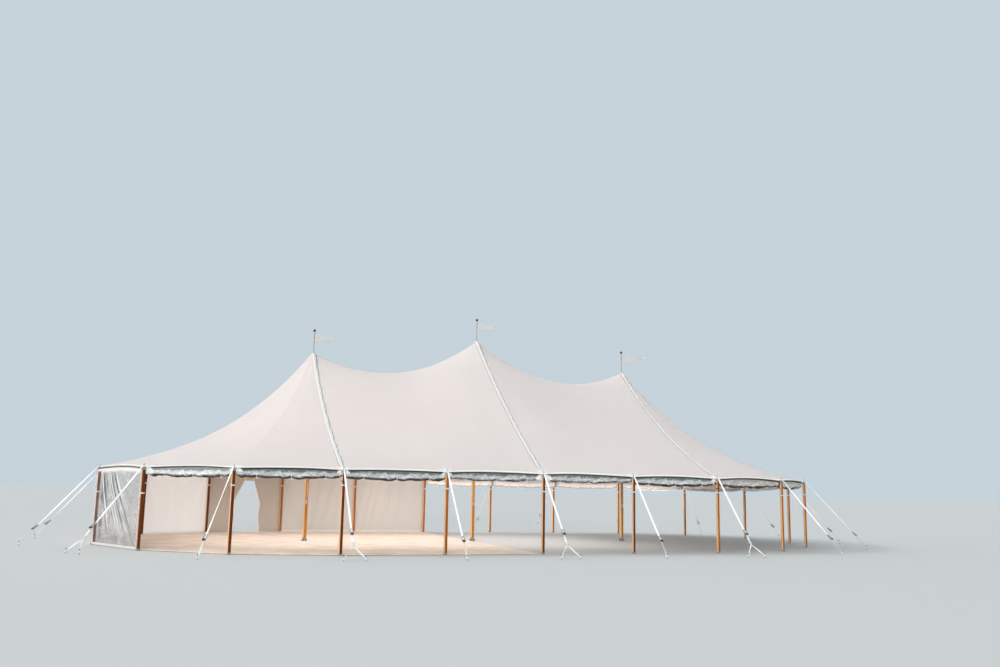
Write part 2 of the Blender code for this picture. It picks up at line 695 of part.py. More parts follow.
def make_floor():
    """Boards under the left end and the two left bays, butted to the side poles."""
    numbers = list(range(BACK_LEFT - BAY_COUNT // 2, BACK_LEFT + END_STEPS + BAY_COUNT // 2 + 1))
    edge = [pole_point(i, -(SIDE_POLE_RADIUS + CLEARANCE)) for i in numbers]
    stop = -(CENTRE_FOOT_RADIUS + CLEARANCE)
    edge[0][0] = stop
    edge[-1][0] = stop
    hole_x = -STRAIGHT_HALF
    curve = bpy.data.curves.new("boarded_floor", "CURVE")
    curve.dimensions = "2D"
    curve.fill_mode = "BOTH"
    curve.extrude = FLOOR_THICKNESS / 2
    turn = np.linspace(0, 2 * math.pi, CENTRE_POLE_SIDES, endpoint=False)
    hole = [(hole_x + FLOOR_POLE_HOLE * math.cos(a), FLOOR_POLE_HOLE * math.sin(a)) for a in turn]
    for outline in (edge, hole):
        spline = curve.splines.new("POLY")
        spline.points.add(len(outline) - 1)
        for point, (x, y) in zip(spline.points, outline):
            point.co = (x, y, 0.0, 1.0)
        spline.use_cyclic_u = True
    curve.materials.append(FLOOR_BOARDS)
    floor = bpy.data.objects.new("boarded_floor", curve)
    floor.location = (0.0, 0.0, FLOOR_THICKNESS / 2)
    TENT.objects.link(floor)


make_roof_end("roof_left_end", "left", -1)
make_roof_bay("roof_left_bay", "left", "middle")
make_roof_bay("roof_right_bay", "middle", "right")
make_roof_end("roof_right_end", "right", 1)
make_side_poles()
make_guys()
for place in PEAKS:
    make_centre_pole("centre_pole_" + place, place)
    make_flag("flag_" + place, place)

LEFT_TURN = BACK_LEFT + END_STEPS
make_hanging_wall("clear_wall", [LEFT_TURN - 2, LEFT_TURN - 3], CLEAR_FILM)
make_hanging_wall("end_wall", [LEFT_TURN - 3, LEFT_TURN - 4, BACK_LEFT + 2, BACK_LEFT + 1], WALL_CLOTH)
REAR_POLES = [BACK_LEFT + 1 - i for i in range(BAY_COUNT // 2 + 2)]
REAR_WALL = make_hanging_wall("rear_wall", REAR_POLES, WALL_CLOTH)
cut_doorway(REAR_WALL, BACK_LEFT + 1, BACK_LEFT)
make_rolled_wall("rolled_walls_front", LEFT_TURN - 2, LEFT_TURN + BAY_COUNT, CLEAR_FILM)
CLOTH_FROM = BACK_RIGHT - END_STEPS // 2
make_rolled_wall("rolled_walls_right", FRONT_RIGHT, BACK_RIGHT + BAY_COUNT // 2, CLEAR_FILM, CLOTH_FROM)
make_floor()
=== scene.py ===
# Sailcloth pole tent: the finish of every surface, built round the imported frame.
import bmesh
import bpy
import numpy as np
from mathutils import Matrix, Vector
from numpy import clip, concatenate, cos, exp, linspace, pi, sin, stack


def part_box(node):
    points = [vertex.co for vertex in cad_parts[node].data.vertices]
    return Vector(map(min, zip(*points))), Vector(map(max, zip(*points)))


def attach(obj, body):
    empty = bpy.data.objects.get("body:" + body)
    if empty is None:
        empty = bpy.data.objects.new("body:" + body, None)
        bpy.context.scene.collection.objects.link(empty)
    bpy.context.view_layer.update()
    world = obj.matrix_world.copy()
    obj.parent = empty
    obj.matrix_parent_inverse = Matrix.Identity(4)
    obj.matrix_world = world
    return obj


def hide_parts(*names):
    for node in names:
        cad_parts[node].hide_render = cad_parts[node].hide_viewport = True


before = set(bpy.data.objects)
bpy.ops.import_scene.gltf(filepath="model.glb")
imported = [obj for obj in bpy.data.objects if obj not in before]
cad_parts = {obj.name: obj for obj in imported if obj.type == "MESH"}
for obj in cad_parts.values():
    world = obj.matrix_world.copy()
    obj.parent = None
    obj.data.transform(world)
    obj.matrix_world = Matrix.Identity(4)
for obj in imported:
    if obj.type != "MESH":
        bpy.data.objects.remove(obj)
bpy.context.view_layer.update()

print("frame loaded, nodes:", len(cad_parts))

# What the cloth's shape comes from, in metres. Heights and places come from the frame.
cloth = {
    "solidThickness": 0.020,   # of the frame's roof, whose top face the sailcloth follows
    "edgeInset": 0.0092,       # from a side pole's axis to the edge of the roof
    "camber": 0.07,            # inward curve of the eave between two poles
    "rise": 0.05,              # upward curve of the eave between two poles
    "ridgeSag": 0.94,
    "outerSlack": 0.85,        # how hollow the slope is at the outer seams, the middle seam and the ends
    "middleSlack": 0.42,
    "endSlack": 1.85,
    "endBlend": 4,
    "headRadius": 0.070,
    "headGap": 0.0025,         # from a centre pole's head to the cloth
    "sheetThickness": 0.003,
}
poleRadius = 0.053
endCount = 7                   # chords round each end
endStep = pi / endCount
fullTurn = 2 * pi
upward = np.array([0.0, 0.0, 1.0])
peakNames = ["left", "middle", "right"]
poleNames = sorted(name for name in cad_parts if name.startswith("side_pole_"))


def boxMiddle(node):
    low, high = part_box(node)
    return (np.array(low) + np.array(high)) / 2


polePlan = np.array([boxMiddle(name)[:2] for name in poleNames])
poleCount = len(polePlan)
poleLow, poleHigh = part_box(poleNames[0])
capRadius = (poleHigh.x - poleLow.x) / 2
endLow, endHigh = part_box("roof_left_end")
eaveZ = endLow.z + cloth["solidThickness"]
shoulderZ = eaveZ - cloth["solidThickness"] - 0.0003
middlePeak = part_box("roof_left_bay")[1].z
peakZ = np.array([endHigh.z, middlePeak, endHigh.z])
peakX = np.array([boxMiddle("centre_pole_" + name)[0] for name in peakNames])
straightHalf = peakX[2]
notch = cloth["headRadius"] + cloth["headGap"]

# Side poles run anticlockwise from the front left corner of the straight run.
poleAngle = np.arctan2(polePlan[:, 1], polePlan[:, 0] - clip(polePlan[:, 0], -straightHalf, straightHalf))
poleOut = stack([cos(poleAngle), sin(poleAngle)], -1)
cornerPlan = polePlan - cloth["edgeInset"] * poleOut
edgeHalf = cornerPlan[:, 1].max()
bayLength = polePlan[1, 0] - polePlan[0, 0]
chordLength = float(np.linalg.norm(polePlan[17] - polePlan[16]))


# Meshes

def unit(vectors):
    return vectors / np.maximum(np.linalg.norm(vectors, axis=-1, keepdims=True), 1e-12)


def addedUp(points, axis):
    # mean distances from row to row or from column to column, added up from 0
    steps = np.linalg.norm(np.diff(points, axis=axis), axis=2).mean(1 - axis)
    return concatenate([[0], np.cumsum(steps)])


def quadsOf(index):
    return stack([index[:-1, :-1], index[:-1, 1:], index[1:, 1:], index[1:, :-1]], -1).reshape(-1, 4)


def shell(points, finish=0, wrap=False, caps=False, uv=None):
    # a grid of rows and columns of points becomes quads; wrap joins the last column to the first.
    # u runs along the columns and v down the rows, in metres
    rows, columns = points.shape[:2]
    index = np.arange(rows * columns).reshape(rows, columns)
    if uv is None:
        closed = concatenate([points, points[:, :1]], 1) if wrap else points
        uv = stack(np.meshgrid(addedUp(closed, 1), addedUp(points, 0)), -1)
    quads = quadsOf(concatenate([index, index[:, :1]], 1) if wrap else index)
    uvQuads = quadsOf(np.arange(uv[..., 0].size).reshape(uv.shape[:2]))
    kinds = np.full(len(quads), finish) if np.ndim(finish) == 0 else np.ravel(finish)
    faces = quads.tolist()
    loops = uv.reshape(-1, 2)[uvQuads.ravel()]
    if caps:
        faces += [index[0, ::-1].tolist(), index[-1].tolist()]
        loops = concatenate([loops, np.zeros((2 * columns, 2))])
        kinds = concatenate([kinds, kinds[:1], kinds[-1:]])
    return points.reshape(-1, 3), faces, loops, kinds


def tube(points, finish=0):
    return shell(points, finish, wrap=True, caps=True)


def placed(part, x, y, angle=0.0, z=0.0):
    points, faces, loops, kinds = part
    spin = np.array([[cos(angle), sin(angle), 0], [-sin(angle), cos(angle), 0], [0, 0, 1]])
    return points @ spin + np.array([x, y, z]), faces, loops, kinds


def makePiece(name, shells, finishes, nodes=(), thickness=0.0, sharp=40, at=(0, 0)):
    shells = [placed(part, *at) for part in shells]
    points, _, loops, kinds = zip(*shells)
    faces, count = [], 0
    for part in shells:
        faces += [[corner + count for corner in face] for face in part[1]]
        count += len(part[0])
    mesh = bpy.data.meshes.new(name)
    mesh.from_pydata(concatenate(points).tolist(), [], faces)
    mesh.uv_layers.new(name="UVMap").data.foreach_set("uv", concatenate(loops).astype(np.float32).ravel())
    mesh.polygons.foreach_set("material_index", concatenate(kinds).astype(np.int32))
    mesh.polygons.foreach_set("use_smooth", np.ones(len(faces), bool))
    for finish in finishes:
        mesh.materials.append(finish)
    if not thickness:
        work = bmesh.new()
        work.from_mesh(mesh)
        bmesh.ops.recalc_face_normals(work, faces=work.faces)
        work.to_mesh(mesh)
        work.free()
    mesh.set_sharp_from_angle(angle=np.radians(sharp))
    piece = bpy.data.objects.new(name, mesh)
    bpy.context.scene.collection.objects.link(piece)
    if thickness:
        solid = piece.modifiers.new("cloth", "SOLIDIFY")
        solid.thickness = thickness
        solid.offset = -1
    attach(piece, "root")
    if nodes:
        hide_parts(*nodes)
    return piece


def around(count):
    # bearings all the way round, the last one a step short of the first
    return linspace(0, fullTurn, count, endpoint=False)


def ring(radius, turn, z):
    # points at the bearings in turn about the upright axis
    return stack([radius * cos(turn), radius * sin(turn), z + 0 * turn], -1)


def wound(centre, turn, first, second):
    # points about a centre: cos of the bearing along first, and sin of it along second
    return centre + cos(turn)[:, None] * first + sin(turn)[:, None] * second


def strapSection(width, thickness, under=0.0):
    half = width / 2
    return np.array([[-half, -under], [half, -under], [half, thickness - under], [-half, thickness - under]])


def carry(section, centre, side, up):
    # each point of the path, plus the section's first number along side and its second along up
    section = np.broadcast_to(section, (len(centre),) + section.shape[-2:])
    return centre[:, None] + section[..., :1] * side[:, None] + section[..., 1:] * up[:, None]


def pathShell(section, centre, hint=upward, finish=0, caps=True):
    # side is the hint crossed with the path's direction, and up is at right angles to both
    centre = np.asarray(centre, float)
    along = unit(np.gradient(centre, axis=0))
    side = unit(np.cross(np.broadcast_to(np.asarray(hint, float), centre.shape), along))
    return shell(carry(section, centre, side, np.cross(along, side)), finish, wrap=True, caps=caps)


def rope(radius, centre, hint=upward, finish=0, sides=6, caps=True, squash=1.0):
    turn = around(sides)
    return pathShell(radius * stack([cos(turn), squash * sin(turn)], -1), centre, hint, finish, caps)


def turnedShell(profile, sides, finish=0, caps=True):
    # radius and height pairs turned about the upright axis
    radius, height = np.asarray(profile, float).T[..., None]
    turn = around(sides)
    return shell(ring(radius, turn, height), finish, wrap=True, caps=caps)


def plate(size, centre, axes, finish=0):
    # a slab with chamfered ends: a rectangle carried along its longest axis, narrower at both tips
    length, width, depth = size
    rim = min(width, depth) * 0.15
    along = np.array([-0.5, -0.5, 0.5, 0.5]) * length + np.array([0, rim, -rim, 0])
    shrink = np.array([1 - 2 * rim / width, 1, 1, 1 - 2 * rim / width])
    half = np.array([[-width, -depth], [width, -depth], [width, depth], [-width, depth]]) / 2
    axes = np.asarray(axes, float)
    path = np.asarray(centre, float) + along[:, None] * axes[0]
    section = half * shrink[:, None, None]
    return tube(carry(section, path, np.tile(axes[1], (4, 1)), np.tile(axes[2], (4, 1))), finish)


# Finishes

def rgba(colour):
    # a number stands for a grey, and a node's output stays as it is
    if isinstance(colour, bpy.types.NodeSocket):
        return colour
    return (*colour, 1) if isinstance(colour, tuple) else (colour, colour, colour, 1)


def shade(colour, share):
    return tuple(share * value for value in colour)


class Finish:
    # a Principled material; most methods add one node and give its output

    def __init__(self, name, colour, roughness, metallic=0.0, coat=(0.0, 0.03), sheen=0.0):
        self.material = bpy.data.materials.new(name)
        self.material.use_nodes = True
        self.tree = self.material.node_tree
        self.shader = self.tree.nodes["Principled BSDF"]
        self.give({
            "Base Color": rgba(colour), "Roughness": roughness, "Metallic": metallic,
            "Coat Weight": coat[0], "Coat Roughness": coat[1], "Sheen Weight": sheen,
        })

    def feed(self, node, inputs):
        # a node's output is linked to the input, and anything else is its value
        for key, value in inputs.items():
            if isinstance(value, bpy.types.NodeSocket):
                self.tree.links.new(value, node.inputs[key])
            else:
                node.inputs[key].default_value = value

    def give(self, inputs):
        self.feed(self.shader, inputs)

    def add(self, kind, inputs, output=0, **settings):
        node = self.tree.nodes.new("ShaderNode" + kind)
        for key, value in settings.items():
            setattr(node, key, value)
        self.feed(node, inputs)
        return node.outputs[output]

    def at(self, kind, scale=(1, 1, 1)):
        return self.add("Mapping", {"Vector": self.add("TexCoord", {}, kind), "Scale": scale})

    def uv(self, axis):
        return self.add("SeparateXYZ", {"Vector": self.add("TexCoord", {}, "UV")}, axis)

    def toss(self, value):
        return self.add("TexWhiteNoise", {"W": value}, "Value", noise_dimensions="1D")

    def maths(self, operation, first, second=0.0):
        return self.add("Math", {0: first, 1: second}, operation=operation)

    def noise(self, vector, scale, detail=4.0, roughness=0.55, distortion=0.0):
        inputs = {"Vector": vector, "Scale": scale, "Detail": detail, "Roughness": roughness}
        return self.add("TexNoise", {**inputs, "Distortion": distortion}, "Fac")

    def bands(self, vector, scale, direction="X"):
        inputs = {"Vector": vector, "Scale": scale, "Distortion": 0.0}
        return self.add("TexWave", inputs, "Fac", wave_type="BANDS", bands_direction=direction)

    def ramp(self, factor, *stops):
        # each stop is a place and a colour
        node = self.tree.nodes.new("ShaderNodeValToRGB")
        while len(node.color_ramp.elements) < len(stops):
            node.color_ramp.elements.new(0.5)
        for element, (place, colour) in zip(node.color_ramp.elements, stops):
            element.position = place
            element.color = rgba(colour)
        self.feed(node, {"Fac": factor})
        return node.outputs["Color"]

    def mix(self, factor, first, second, mode="MIX"):
        inputs = {0: factor, 6: rgba(first), 7: rgba(second)}
        return self.add("Mix", inputs, 2, data_type="RGBA", blend_type=mode)

    def times(self, factor, first, second):
        return self.mix(factor, first, second, "MULTIPLY")

    def bump(self, *heights):
        # each height comes with its strength and distance, and lies over the ones before it
        inputs = {}
        for height, strength, distance in heights:
            inputs.update({"Height": height, "Strength": strength, "Distance": distance})
            inputs["Normal"] = self.add("Bump", inputs, "Normal")
        self.give({"Normal": inputs["Normal"]})

    def letThrough(self, colour, share):
        # part of the light that falls on one face shows on the other
        glow = self.add("BsdfTranslucent", {"Color": rgba(colour)})
        both = self.add("MixShader", {0: share, 1: self.shader.outputs["BSDF"], 2: glow})
        self.feed(self.tree.nodes["Material Output"], {"Surface": both})


def clothFinish(name, colour, patchColour, share, foldScale, seamEvery=0):
    # woven cloth: slow patches of tone, fine soiling, thread bands both ways in the bump, and
    # a darker sewn line each time u has gone on by seamEvery metres
    made = Finish(name, colour, 0.72, sheen=0.12)
    plain, weave = made.at("Object"), made.at("UV")
    patches = made.ramp(made.noise(plain, 0.45, 3), (0.30, patchColour), (0.70, colour))
    specks = made.ramp(made.noise(plain, 9.0, 6, 0.7), (0.25, 0.93), (0.65, 1.0))
    toned = made.times(0.8, patches, specks)
    if seamEvery:
        fromSeam = made.maths("PINGPONG", made.uv("X"), seamEvery / 2)
        sewn = made.ramp(made.maths("MULTIPLY", fromSeam, 20.0), (0.12, 0.88), (0.30, 1.0))
        toned = made.times(1.0, toned, sewn)
    made.give({"Base Color": toned, "Sheen Roughness": 0.5})
    made.bump((made.noise(plain, foldScale, 3, 0.5), 0.30, 0.02), (made.bands(weave, 120), 0.05, 0.0006),
              (made.bands(weave, 120, "Y"), 0.05, 0.0006))
    if share:
        made.letThrough(colour, share)
    return made.material


def roofFinish():
    # as cloth, and each sewn panel has a tone of its own; u counts panels
    colour = (0.832, 0.762, 0.737)
    made = Finish("sailcloth", colour, 0.62, sheen=0.10)
    plain = made.at("Object")
    patches = made.ramp(made.noise(plain, 0.35, 3), (0.30, (0.790, 0.724, 0.700)), (0.72, colour))
    tones = made.ramp(made.toss(made.maths("FLOOR", made.uv("X"))), (0.0, 0.985), (1.0, 1.0))
    specks = made.ramp(made.noise(plain, 7.0, 6, 0.7), (0.25, 0.95), (0.60, 1.0))
    made.give({"Base Color": made.times(0.8, made.times(1.0, patches, tones), specks)})
    threads = made.bands(made.at("Object", (1, 0.02, 1)), 260)
    made.bump((made.noise(plain, 1.6, 4, 0.5), 0.35, 0.012), (made.noise(plain, 14.0, 3, 0.6), 0.15, 0.002),
              (threads, 0.02, 0.0002))
    made.letThrough((0.82, 0.775, 0.745), 0.36)
    return made.material


def woodFinish(name, paintedSunlit, pale, deep, gloss):
    # turned wood: grain drawn out along the pole, darker late wood, worn varnish, and painted light: lighter
    # on the side towards the key sun and darker on the side away from it
    made = Finish(name, pale, gloss, coat=(0.10, 0.20))
    grain, fine = made.at("Object", (9, 9, 0.55)), made.at("Object", (60, 60, 1.6))
    wide = made.ramp(made.noise(grain, 2.2, 5, 0.6, 0.8), (0.32, deep), (0.52, pale), (0.75, pale))
    streaks = made.noise(fine, 1.0, 4, 0.6)
    worn = made.ramp(made.noise(made.at("Object", (3, 3, 2)), 1.4, 3), (0.30, 0.78), (0.65, 1.0))
    shady = made.times(0.8, made.times(0.75, wide, made.ramp(streaks, (0.35, 0.72), (0.62, 1.0))), worn)
    # painted light and shade: the side whose normal faces the key sun takes the lighter sunlit colour, the
    # rest the darker grain
    facing = {0: made.add("TexCoord", {}, "Normal"), 1: (-0.96, 0.28, 0.0)}
    facing = made.add("VectorMath", facing, "Value", operation="DOT_PRODUCT")
    towards = made.maths("ADD", facing, made.maths("MULTIPLY", made.noise(grain, 1.0), 0.25))
    light = made.ramp(streaks, (0.35, shade(paintedSunlit, 0.8)), (0.62, paintedSunlit))
    made.give({
        "Base Color": made.mix(made.ramp(towards, (0.36, 0.0), (0.56, 1.0)), shady, light),
        "Roughness": made.ramp(made.noise(grain, 3.0, 3), (0.3, gloss - 0.08), (0.7, gloss + 0.15)),
        "Specular IOR Level": 0.12,
    })
    made.bump((made.noise(fine, 1.0, 4), 0.25, 0.0015), (made.noise(grain, 2.2, 4), 0.25, 0.004))
    return made.material


def metalFinish(name, colour, roughness, metallic=0.9):
    # galvanised or painted steel: mottled tone and roughness, fine pitting
    made = Finish(name, colour, roughness, metallic)
    plain = made.at("Object")
    made.give({
        "Base Color": made.ramp(made.noise(plain, 38, 5, 0.65), (0.3, shade(colour, 0.62)), (0.62, colour)),
        "Roughness": made.ramp(made.noise(plain, 60, 3), (0.3, roughness), (0.7, roughness + 0.22)),
    })
    made.bump((made.noise(plain, 240, 3), 0.2, 0.0006))
    return made.material


def webFinish(name, colour):
    # woven strap: ribs across the strap and edges along it
    made = Finish(name, colour, 0.78, sheen=0.1)
    worn = made.ramp(made.noise(made.at("Object"), 5, 4), (0.3, shade(colour, 0.86)), (0.6, colour))
    made.give({"Base Color": worn})
    weave = made.at("UV")
    made.bump((made.bands(weave, 90, "Y"), 0.35, 0.0008), (made.bands(weave, 55), 0.2, 0.0006))
    return made.material


def rolledFinish(name, reach, profile, tones, crumpled, roughness, gloss):
    # film or cloth rolled up. A base tone goes by how far round the section a point lies, u / reach, with an
    # edge that wanders along the roll; the profiles given to it paint shade on the roll's top and underside.
    # Crumpled streaks of other tones lie over it, in the film's tones with painted glints and painted shade in
    # the creases
    made = Finish(name, profile[0][1], roughness, coat=(gloss, 0.10))
    wander = made.maths("SUBTRACT", made.noise(made.at("UV", (0.01, 3.2, 1)), 1.0, 4, 0.65), 0.5)
    pushed = made.maths("MULTIPLY", wander, 0.22 / reach)
    place = made.maths("ADD", made.maths("DIVIDE", made.uv("X"), reach), pushed)
    along = made.at("UV", (15, 4.2, 1))
    streaks = made.noise(along, 1.0, 5, 0.66, 1.0)
    base, crumple = made.ramp(place, *profile), made.ramp(streaks, *tones)
    made.give({"Base Color": made.mix(made.ramp(place, *crumpled), base, crumple)})
    made.bump((streaks, 0.6, 0.012), (made.noise(along, 3.5, 3, 0.5, 0.8), 0.3, 0.004))
    return made.material


film = {
    "fanAt": 3.45,      # the creases' centre: metres from the near side, and over the top edge
    "fanOver": 1.50,
    "milk": ((0.26, 0.29, 0.29), (0.62, 0.575, 0.565)),
    "veil": (0.40, 0.68),
}


def clearFinish():
    # clear film gone milky: creases fan down from a point over its top edge, near one corner, and between them
    # it is nearly see-through. The creases' ridges carry painted highlights and their slits painted shade
    made = Finish("clear_film", film["milk"][1], 0.12, coat=(0.6, 0.06))
    down = made.maths("ADD", made.uv("Y"), film["fanOver"])
    bearing = made.maths("ARCTAN2", made.maths("SUBTRACT", film["fanAt"], made.uv("X")), down)
    polar = {"X": made.maths("MULTIPLY", bearing, 30.0), "Y": made.maths("MULTIPLY", down, 0.30)}
    creased = made.noise(made.add("CombineXYZ", polar), 1.0, 3, 0.55, 0.15)
    fan = made.ramp(bearing, (0.30, 0.15), (0.40, 1.0), (0.78, 1.0), (0.86, 0.05))
    depth = made.maths("MULTIPLY", made.uv("Y"), 0.43)
    fall = made.ramp(depth, (0.07, 0.3), (0.16, 1.0), (0.62, 0.9), (0.88, 0.15))
    strength = made.times(1.0, fan, fall)
    slitShade = made.times(1.0, made.ramp(creased, (0.42, 1.0), (0.46, 0.0)), strength)
    ridgeHighlights = made.times(1.0, made.ramp(creased, (0.54, 0.0), (0.59, 1.0)), strength)
    spots = made.noise(made.at("UV", (7, 16, 1)), 1.0, 3)
    marks = made.ramp(spots, (0.33, (0.10, 0.07, 0.06)), (0.39, (0.84, 0.78, 0.77)))
    atTop = made.ramp(depth, (0.055, 1.0), (0.090, 0.0))
    clouds = made.noise(made.at("UV", (0.8, 1.1, 1)), 1.6, 5, 0.62, 1.0)
    colour = made.ramp(clouds, (0.34, film["milk"][0]), (0.62, film["milk"][1]))
    cover = made.ramp(clouds, (0.34, film["veil"][0]), (0.66, film["veil"][1]))
    # over the milk in turn: where, in what colour and how dense; the ridges are painted highlights and the
    # slits painted shade
    layers = (ridgeHighlights, (0.86, 0.85, 0.84), 0.80), (slitShade, (0.05, 0.085, 0.075), 0.80), (atTop, marks, 0.88)
    for where, paint, dense in layers:
        colour = made.mix(where, colour, paint)
        cover = made.mix(where, cover, dense)
    # clear in front of the corner pole
    beside = made.ramp(made.maths("MULTIPLY", made.uv("X"), 0.3), (0.825, 1.0), (0.842, 0.12))
    made.give({"Base Color": colour, "Alpha": made.times(1.0, cover, beside)})
    made.bump((creased, 0.5, 0.010), (made.noise(made.at("Object"), 14, 4, 0.6), 0.25, 0.003))
    return made.material


sailcloth = roofFinish()
trimCloth = clothFinish("trim_cloth", (0.90, 0.855, 0.80), (0.85, 0.80, 0.75), 0.0, 2.0)
coverCloth = clothFinish("cover_cloth", (0.86, 0.82, 0.79), (0.82, 0.78, 0.75), 0.10, 2.0)
flapCloth = clothFinish("flap_cloth", (0.68, 0.655, 0.64), (0.62, 0.60, 0.585), 0.10, 2.0)
filmTrim = clothFinish("film_trim", (0.90, 0.86, 0.85), (0.82, 0.78, 0.77), 0.30, 9.0)
seamCloth = clothFinish("seam_cloth", (0.818, 0.750, 0.726), (0.78, 0.715, 0.692), 0.36, 2.0)
bundleCloth = clothFinish("bundle_cloth", (0.93, 0.91, 0.89), (0.84, 0.81, 0.79), 0.0, 9.0)
patchCloth = clothFinish("patch_cloth", (0.82, 0.775, 0.755), (0.78, 0.74, 0.72), 0.20, 2.0)
wallCloth = clothFinish("wall_cloth", (0.94, 0.91, 0.89), (0.90, 0.87, 0.85), 0.58, 1.1, 1.52)
# darker copies of the wall cloth, painted shade: for the rear walls and the doorway's curtains
shadedBackCloth = clothFinish("shaded_back_cloth", (0.82, 0.765, 0.72), (0.76, 0.71, 0.665), 0.40, 1.1, 1.52)
shadedCurtainCloth = clothFinish("shaded_curtain_cloth", (0.69, 0.61, 0.54), (0.61, 0.54, 0.475), 0.40, 1.1)
headCloth = clothFinish("head_cloth", (0.78, 0.60, 0.46), (0.70, 0.53, 0.40), 0.50, 1.1)
pennantCloth = clothFinish("pennant_cloth", (0.74, 0.73, 0.70), (0.70, 0.69, 0.66), 0.20, 3.0)
# the cloth roll's tone round its section: the brown bands are painted shade on its top and underside, between
# white
rollShadeProfile = [
    (0.43, (0.34, 0.24, 0.15)), (0.49, (0.96, 0.92, 0.88)), (0.64, (0.96, 0.91, 0.87)),
    (0.68, (0.46, 0.34, 0.23)), (0.73, (0.52, 0.40, 0.29)), (0.77, (0.97, 0.93, 0.89)),
]
rollTones = [(0.36, (0.50, 0.40, 0.30)), (0.44, (0.86, 0.79, 0.72)), (0.60, (0.97, 0.93, 0.90))]
rollCloth = rolledFinish("roll_cloth", 0.90, rollShadeProfile, rollTones, [(0.0, 0.30), (1.0, 0.30)], 0.7, 0.0)
varnishedWood = woodFinish("varnished_wood", (0.88, 0.52, 0.31), (0.165, 0.034, 0.003), (0.075, 0.012, 0.001),
                           0.34)
amberWood = woodFinish("amber_wood", (0.90, 0.50, 0.22), (0.44, 0.132, 0.018), (0.22, 0.055, 0.006), 0.36)
paleWood = woodFinish("pale_wood", (0.76, 0.46, 0.20), (0.50, 0.190, 0.026), (0.32, 0.105, 0.013), 0.40)
joistWood = woodFinish("joist_wood", (0.24, 0.15, 0.08), (0.22, 0.13, 0.07), (0.10, 0.06, 0.03), 0.6)
zincSteel = metalFinish("zinc_steel", (0.50, 0.51, 0.52), 0.38)
darkSteel = metalFinish("dark_steel", (0.045, 0.045, 0.05), 0.42, 0.5)
greySteel = metalFinish("grey_steel", (0.40, 0.41, 0.42), 0.45, 0.5)
webbing = webFinish("webbing", (0.86, 0.85, 0.82))
# the open gap of a laced joint: a dark strip of painted shadow
gapShadow = webFinish("lace_gap_shadow", (0.27, 0.265, 0.26))
# a near-black strip under the eave: painted shadow of the hem's lip, made as webbing
eaveShadowBand = webFinish("header_shadow_band", (0.055, 0.055, 0.040))
# crumple tones of the film rolls: the white streaks are painted glints and the near-black ones painted shade
# in the creases
filmGlintTones = [(0.34, (0.010, 0.014, 0.020)), (0.42, (0.11, 0.13, 0.15)), (0.52, (0.42, 0.44, 0.46)),
             (0.60, (0.97, 0.96, 0.95))]
paleGlintTones = [(0.34, (0.020, 0.016, 0.012)), (0.42, (0.16, 0.15, 0.15)), (0.52, (0.48, 0.45, 0.44)),
             (0.60, (0.92, 0.88, 0.84))]


def filmPair(name, dark, light, middle, foot, tones):
    # the flat header, dark over light, its dark top painted shade under the eave, and the roll under it, from
    # light to its dark foot, painted shade on its underside
    profile = [(0.40, light), (0.53, middle), (0.63, foot), (0.71, (0.014, 0.012, 0.009))]
    shares = [(0.40, 0.45), (0.50, 0.62), (0.58, 0.50), (0.67, 0.05)]
    rolled = rolledFinish(name, 0.40, profile, tones, shares, 0.45, 0.12)
    headProfile, headShares = [(0.28, dark), (0.39, light)], [(0.18, 0.12), (0.42, 0.40)]
    return rolled, rolledFinish(name + "_header", 0.40, headProfile, tones, headShares, 0.40, 0.15)


whiteFilm = filmPair(
    "white_film", (0.30, 0.33, 0.28), (0.95, 0.93, 0.93), (0.60, 0.52, 0.47), (0.24, 0.19, 0.14), filmGlintTones)
greyFilm = filmPair(
    "grey_film", (0.125, 0.165, 0.145), (0.66, 0.62, 0.60), (0.34, 0.34, 0.35), (0.06, 0.06, 0.06), filmGlintTones)
paleFilm = filmPair(
    "pale_film", (0.36, 0.34, 0.31), (0.56, 0.51, 0.46), (0.42, 0.39, 0.35), (0.085, 0.080, 0.060), paleGlintTones)
clearFilm = clearFinish()
print("finishes made")


# Roof surface

def hang(t, slack):
    # the share of height left at t from the peak: (exp(-slack t) - exp(-slack)) / (1 - exp(-slack))
    return (exp(-slack * t) - exp(-slack)) / (1 - exp(-slack))


def archOf(share):
    # a parabola, 0 at both poles and 1 half way
    return 4 * share * (1 - share)


def bayEdge(x):
    # arch of the eave at x, and how far the eave lies from the ridge's line
    arch = archOf(np.abs(x) / bayLength % 1)
    return arch, edgeHalf - cloth["camber"] * arch


def endEdge(bearing):
    # the same round an end; bearing is 0 at the seam and a right angle at the tent's tip
    chord = np.minimum(np.floor(bearing / endStep), endCount - 1)
    turn = bearing - (chord + 0.5) * endStep
    arch = archOf(clip(0.5 + np.tan(turn) / (2 * np.tan(endStep / 2)), 0, 1))
    return arch, (edgeHalf * cos(endStep / 2) - cloth["camber"] * arch) / cos(turn)


def bayHeight(x, y):
    # seam profiles of both peaks, blended across the bay, less the ridge's sag
    u = clip(np.abs(x) / straightHalf, 0, 1)
    arch, edge = bayEdge(x)
    low = eaveZ + cloth["rise"] * arch
    t = clip((np.abs(y) * edgeHalf / edge - notch) / (edgeHalf - notch), 0, 1)
    seams, steep = 0, 0
    profiles = (1 - u, middlePeak, cloth["middleSlack"]), (u, endHigh.z, cloth["outerSlack"])
    for share, peak, slack in profiles:
        seams = seams + share * (peak - low) * hang(t, slack)
        steep += 0.5 * (peak - eaveZ) * slack / (1 - exp(-slack))
    middle = archOf(u)
    return low + seams - middle * cloth["ridgeSag"] * hang(t, steep / cloth["ridgeSag"] * (2 - middle))


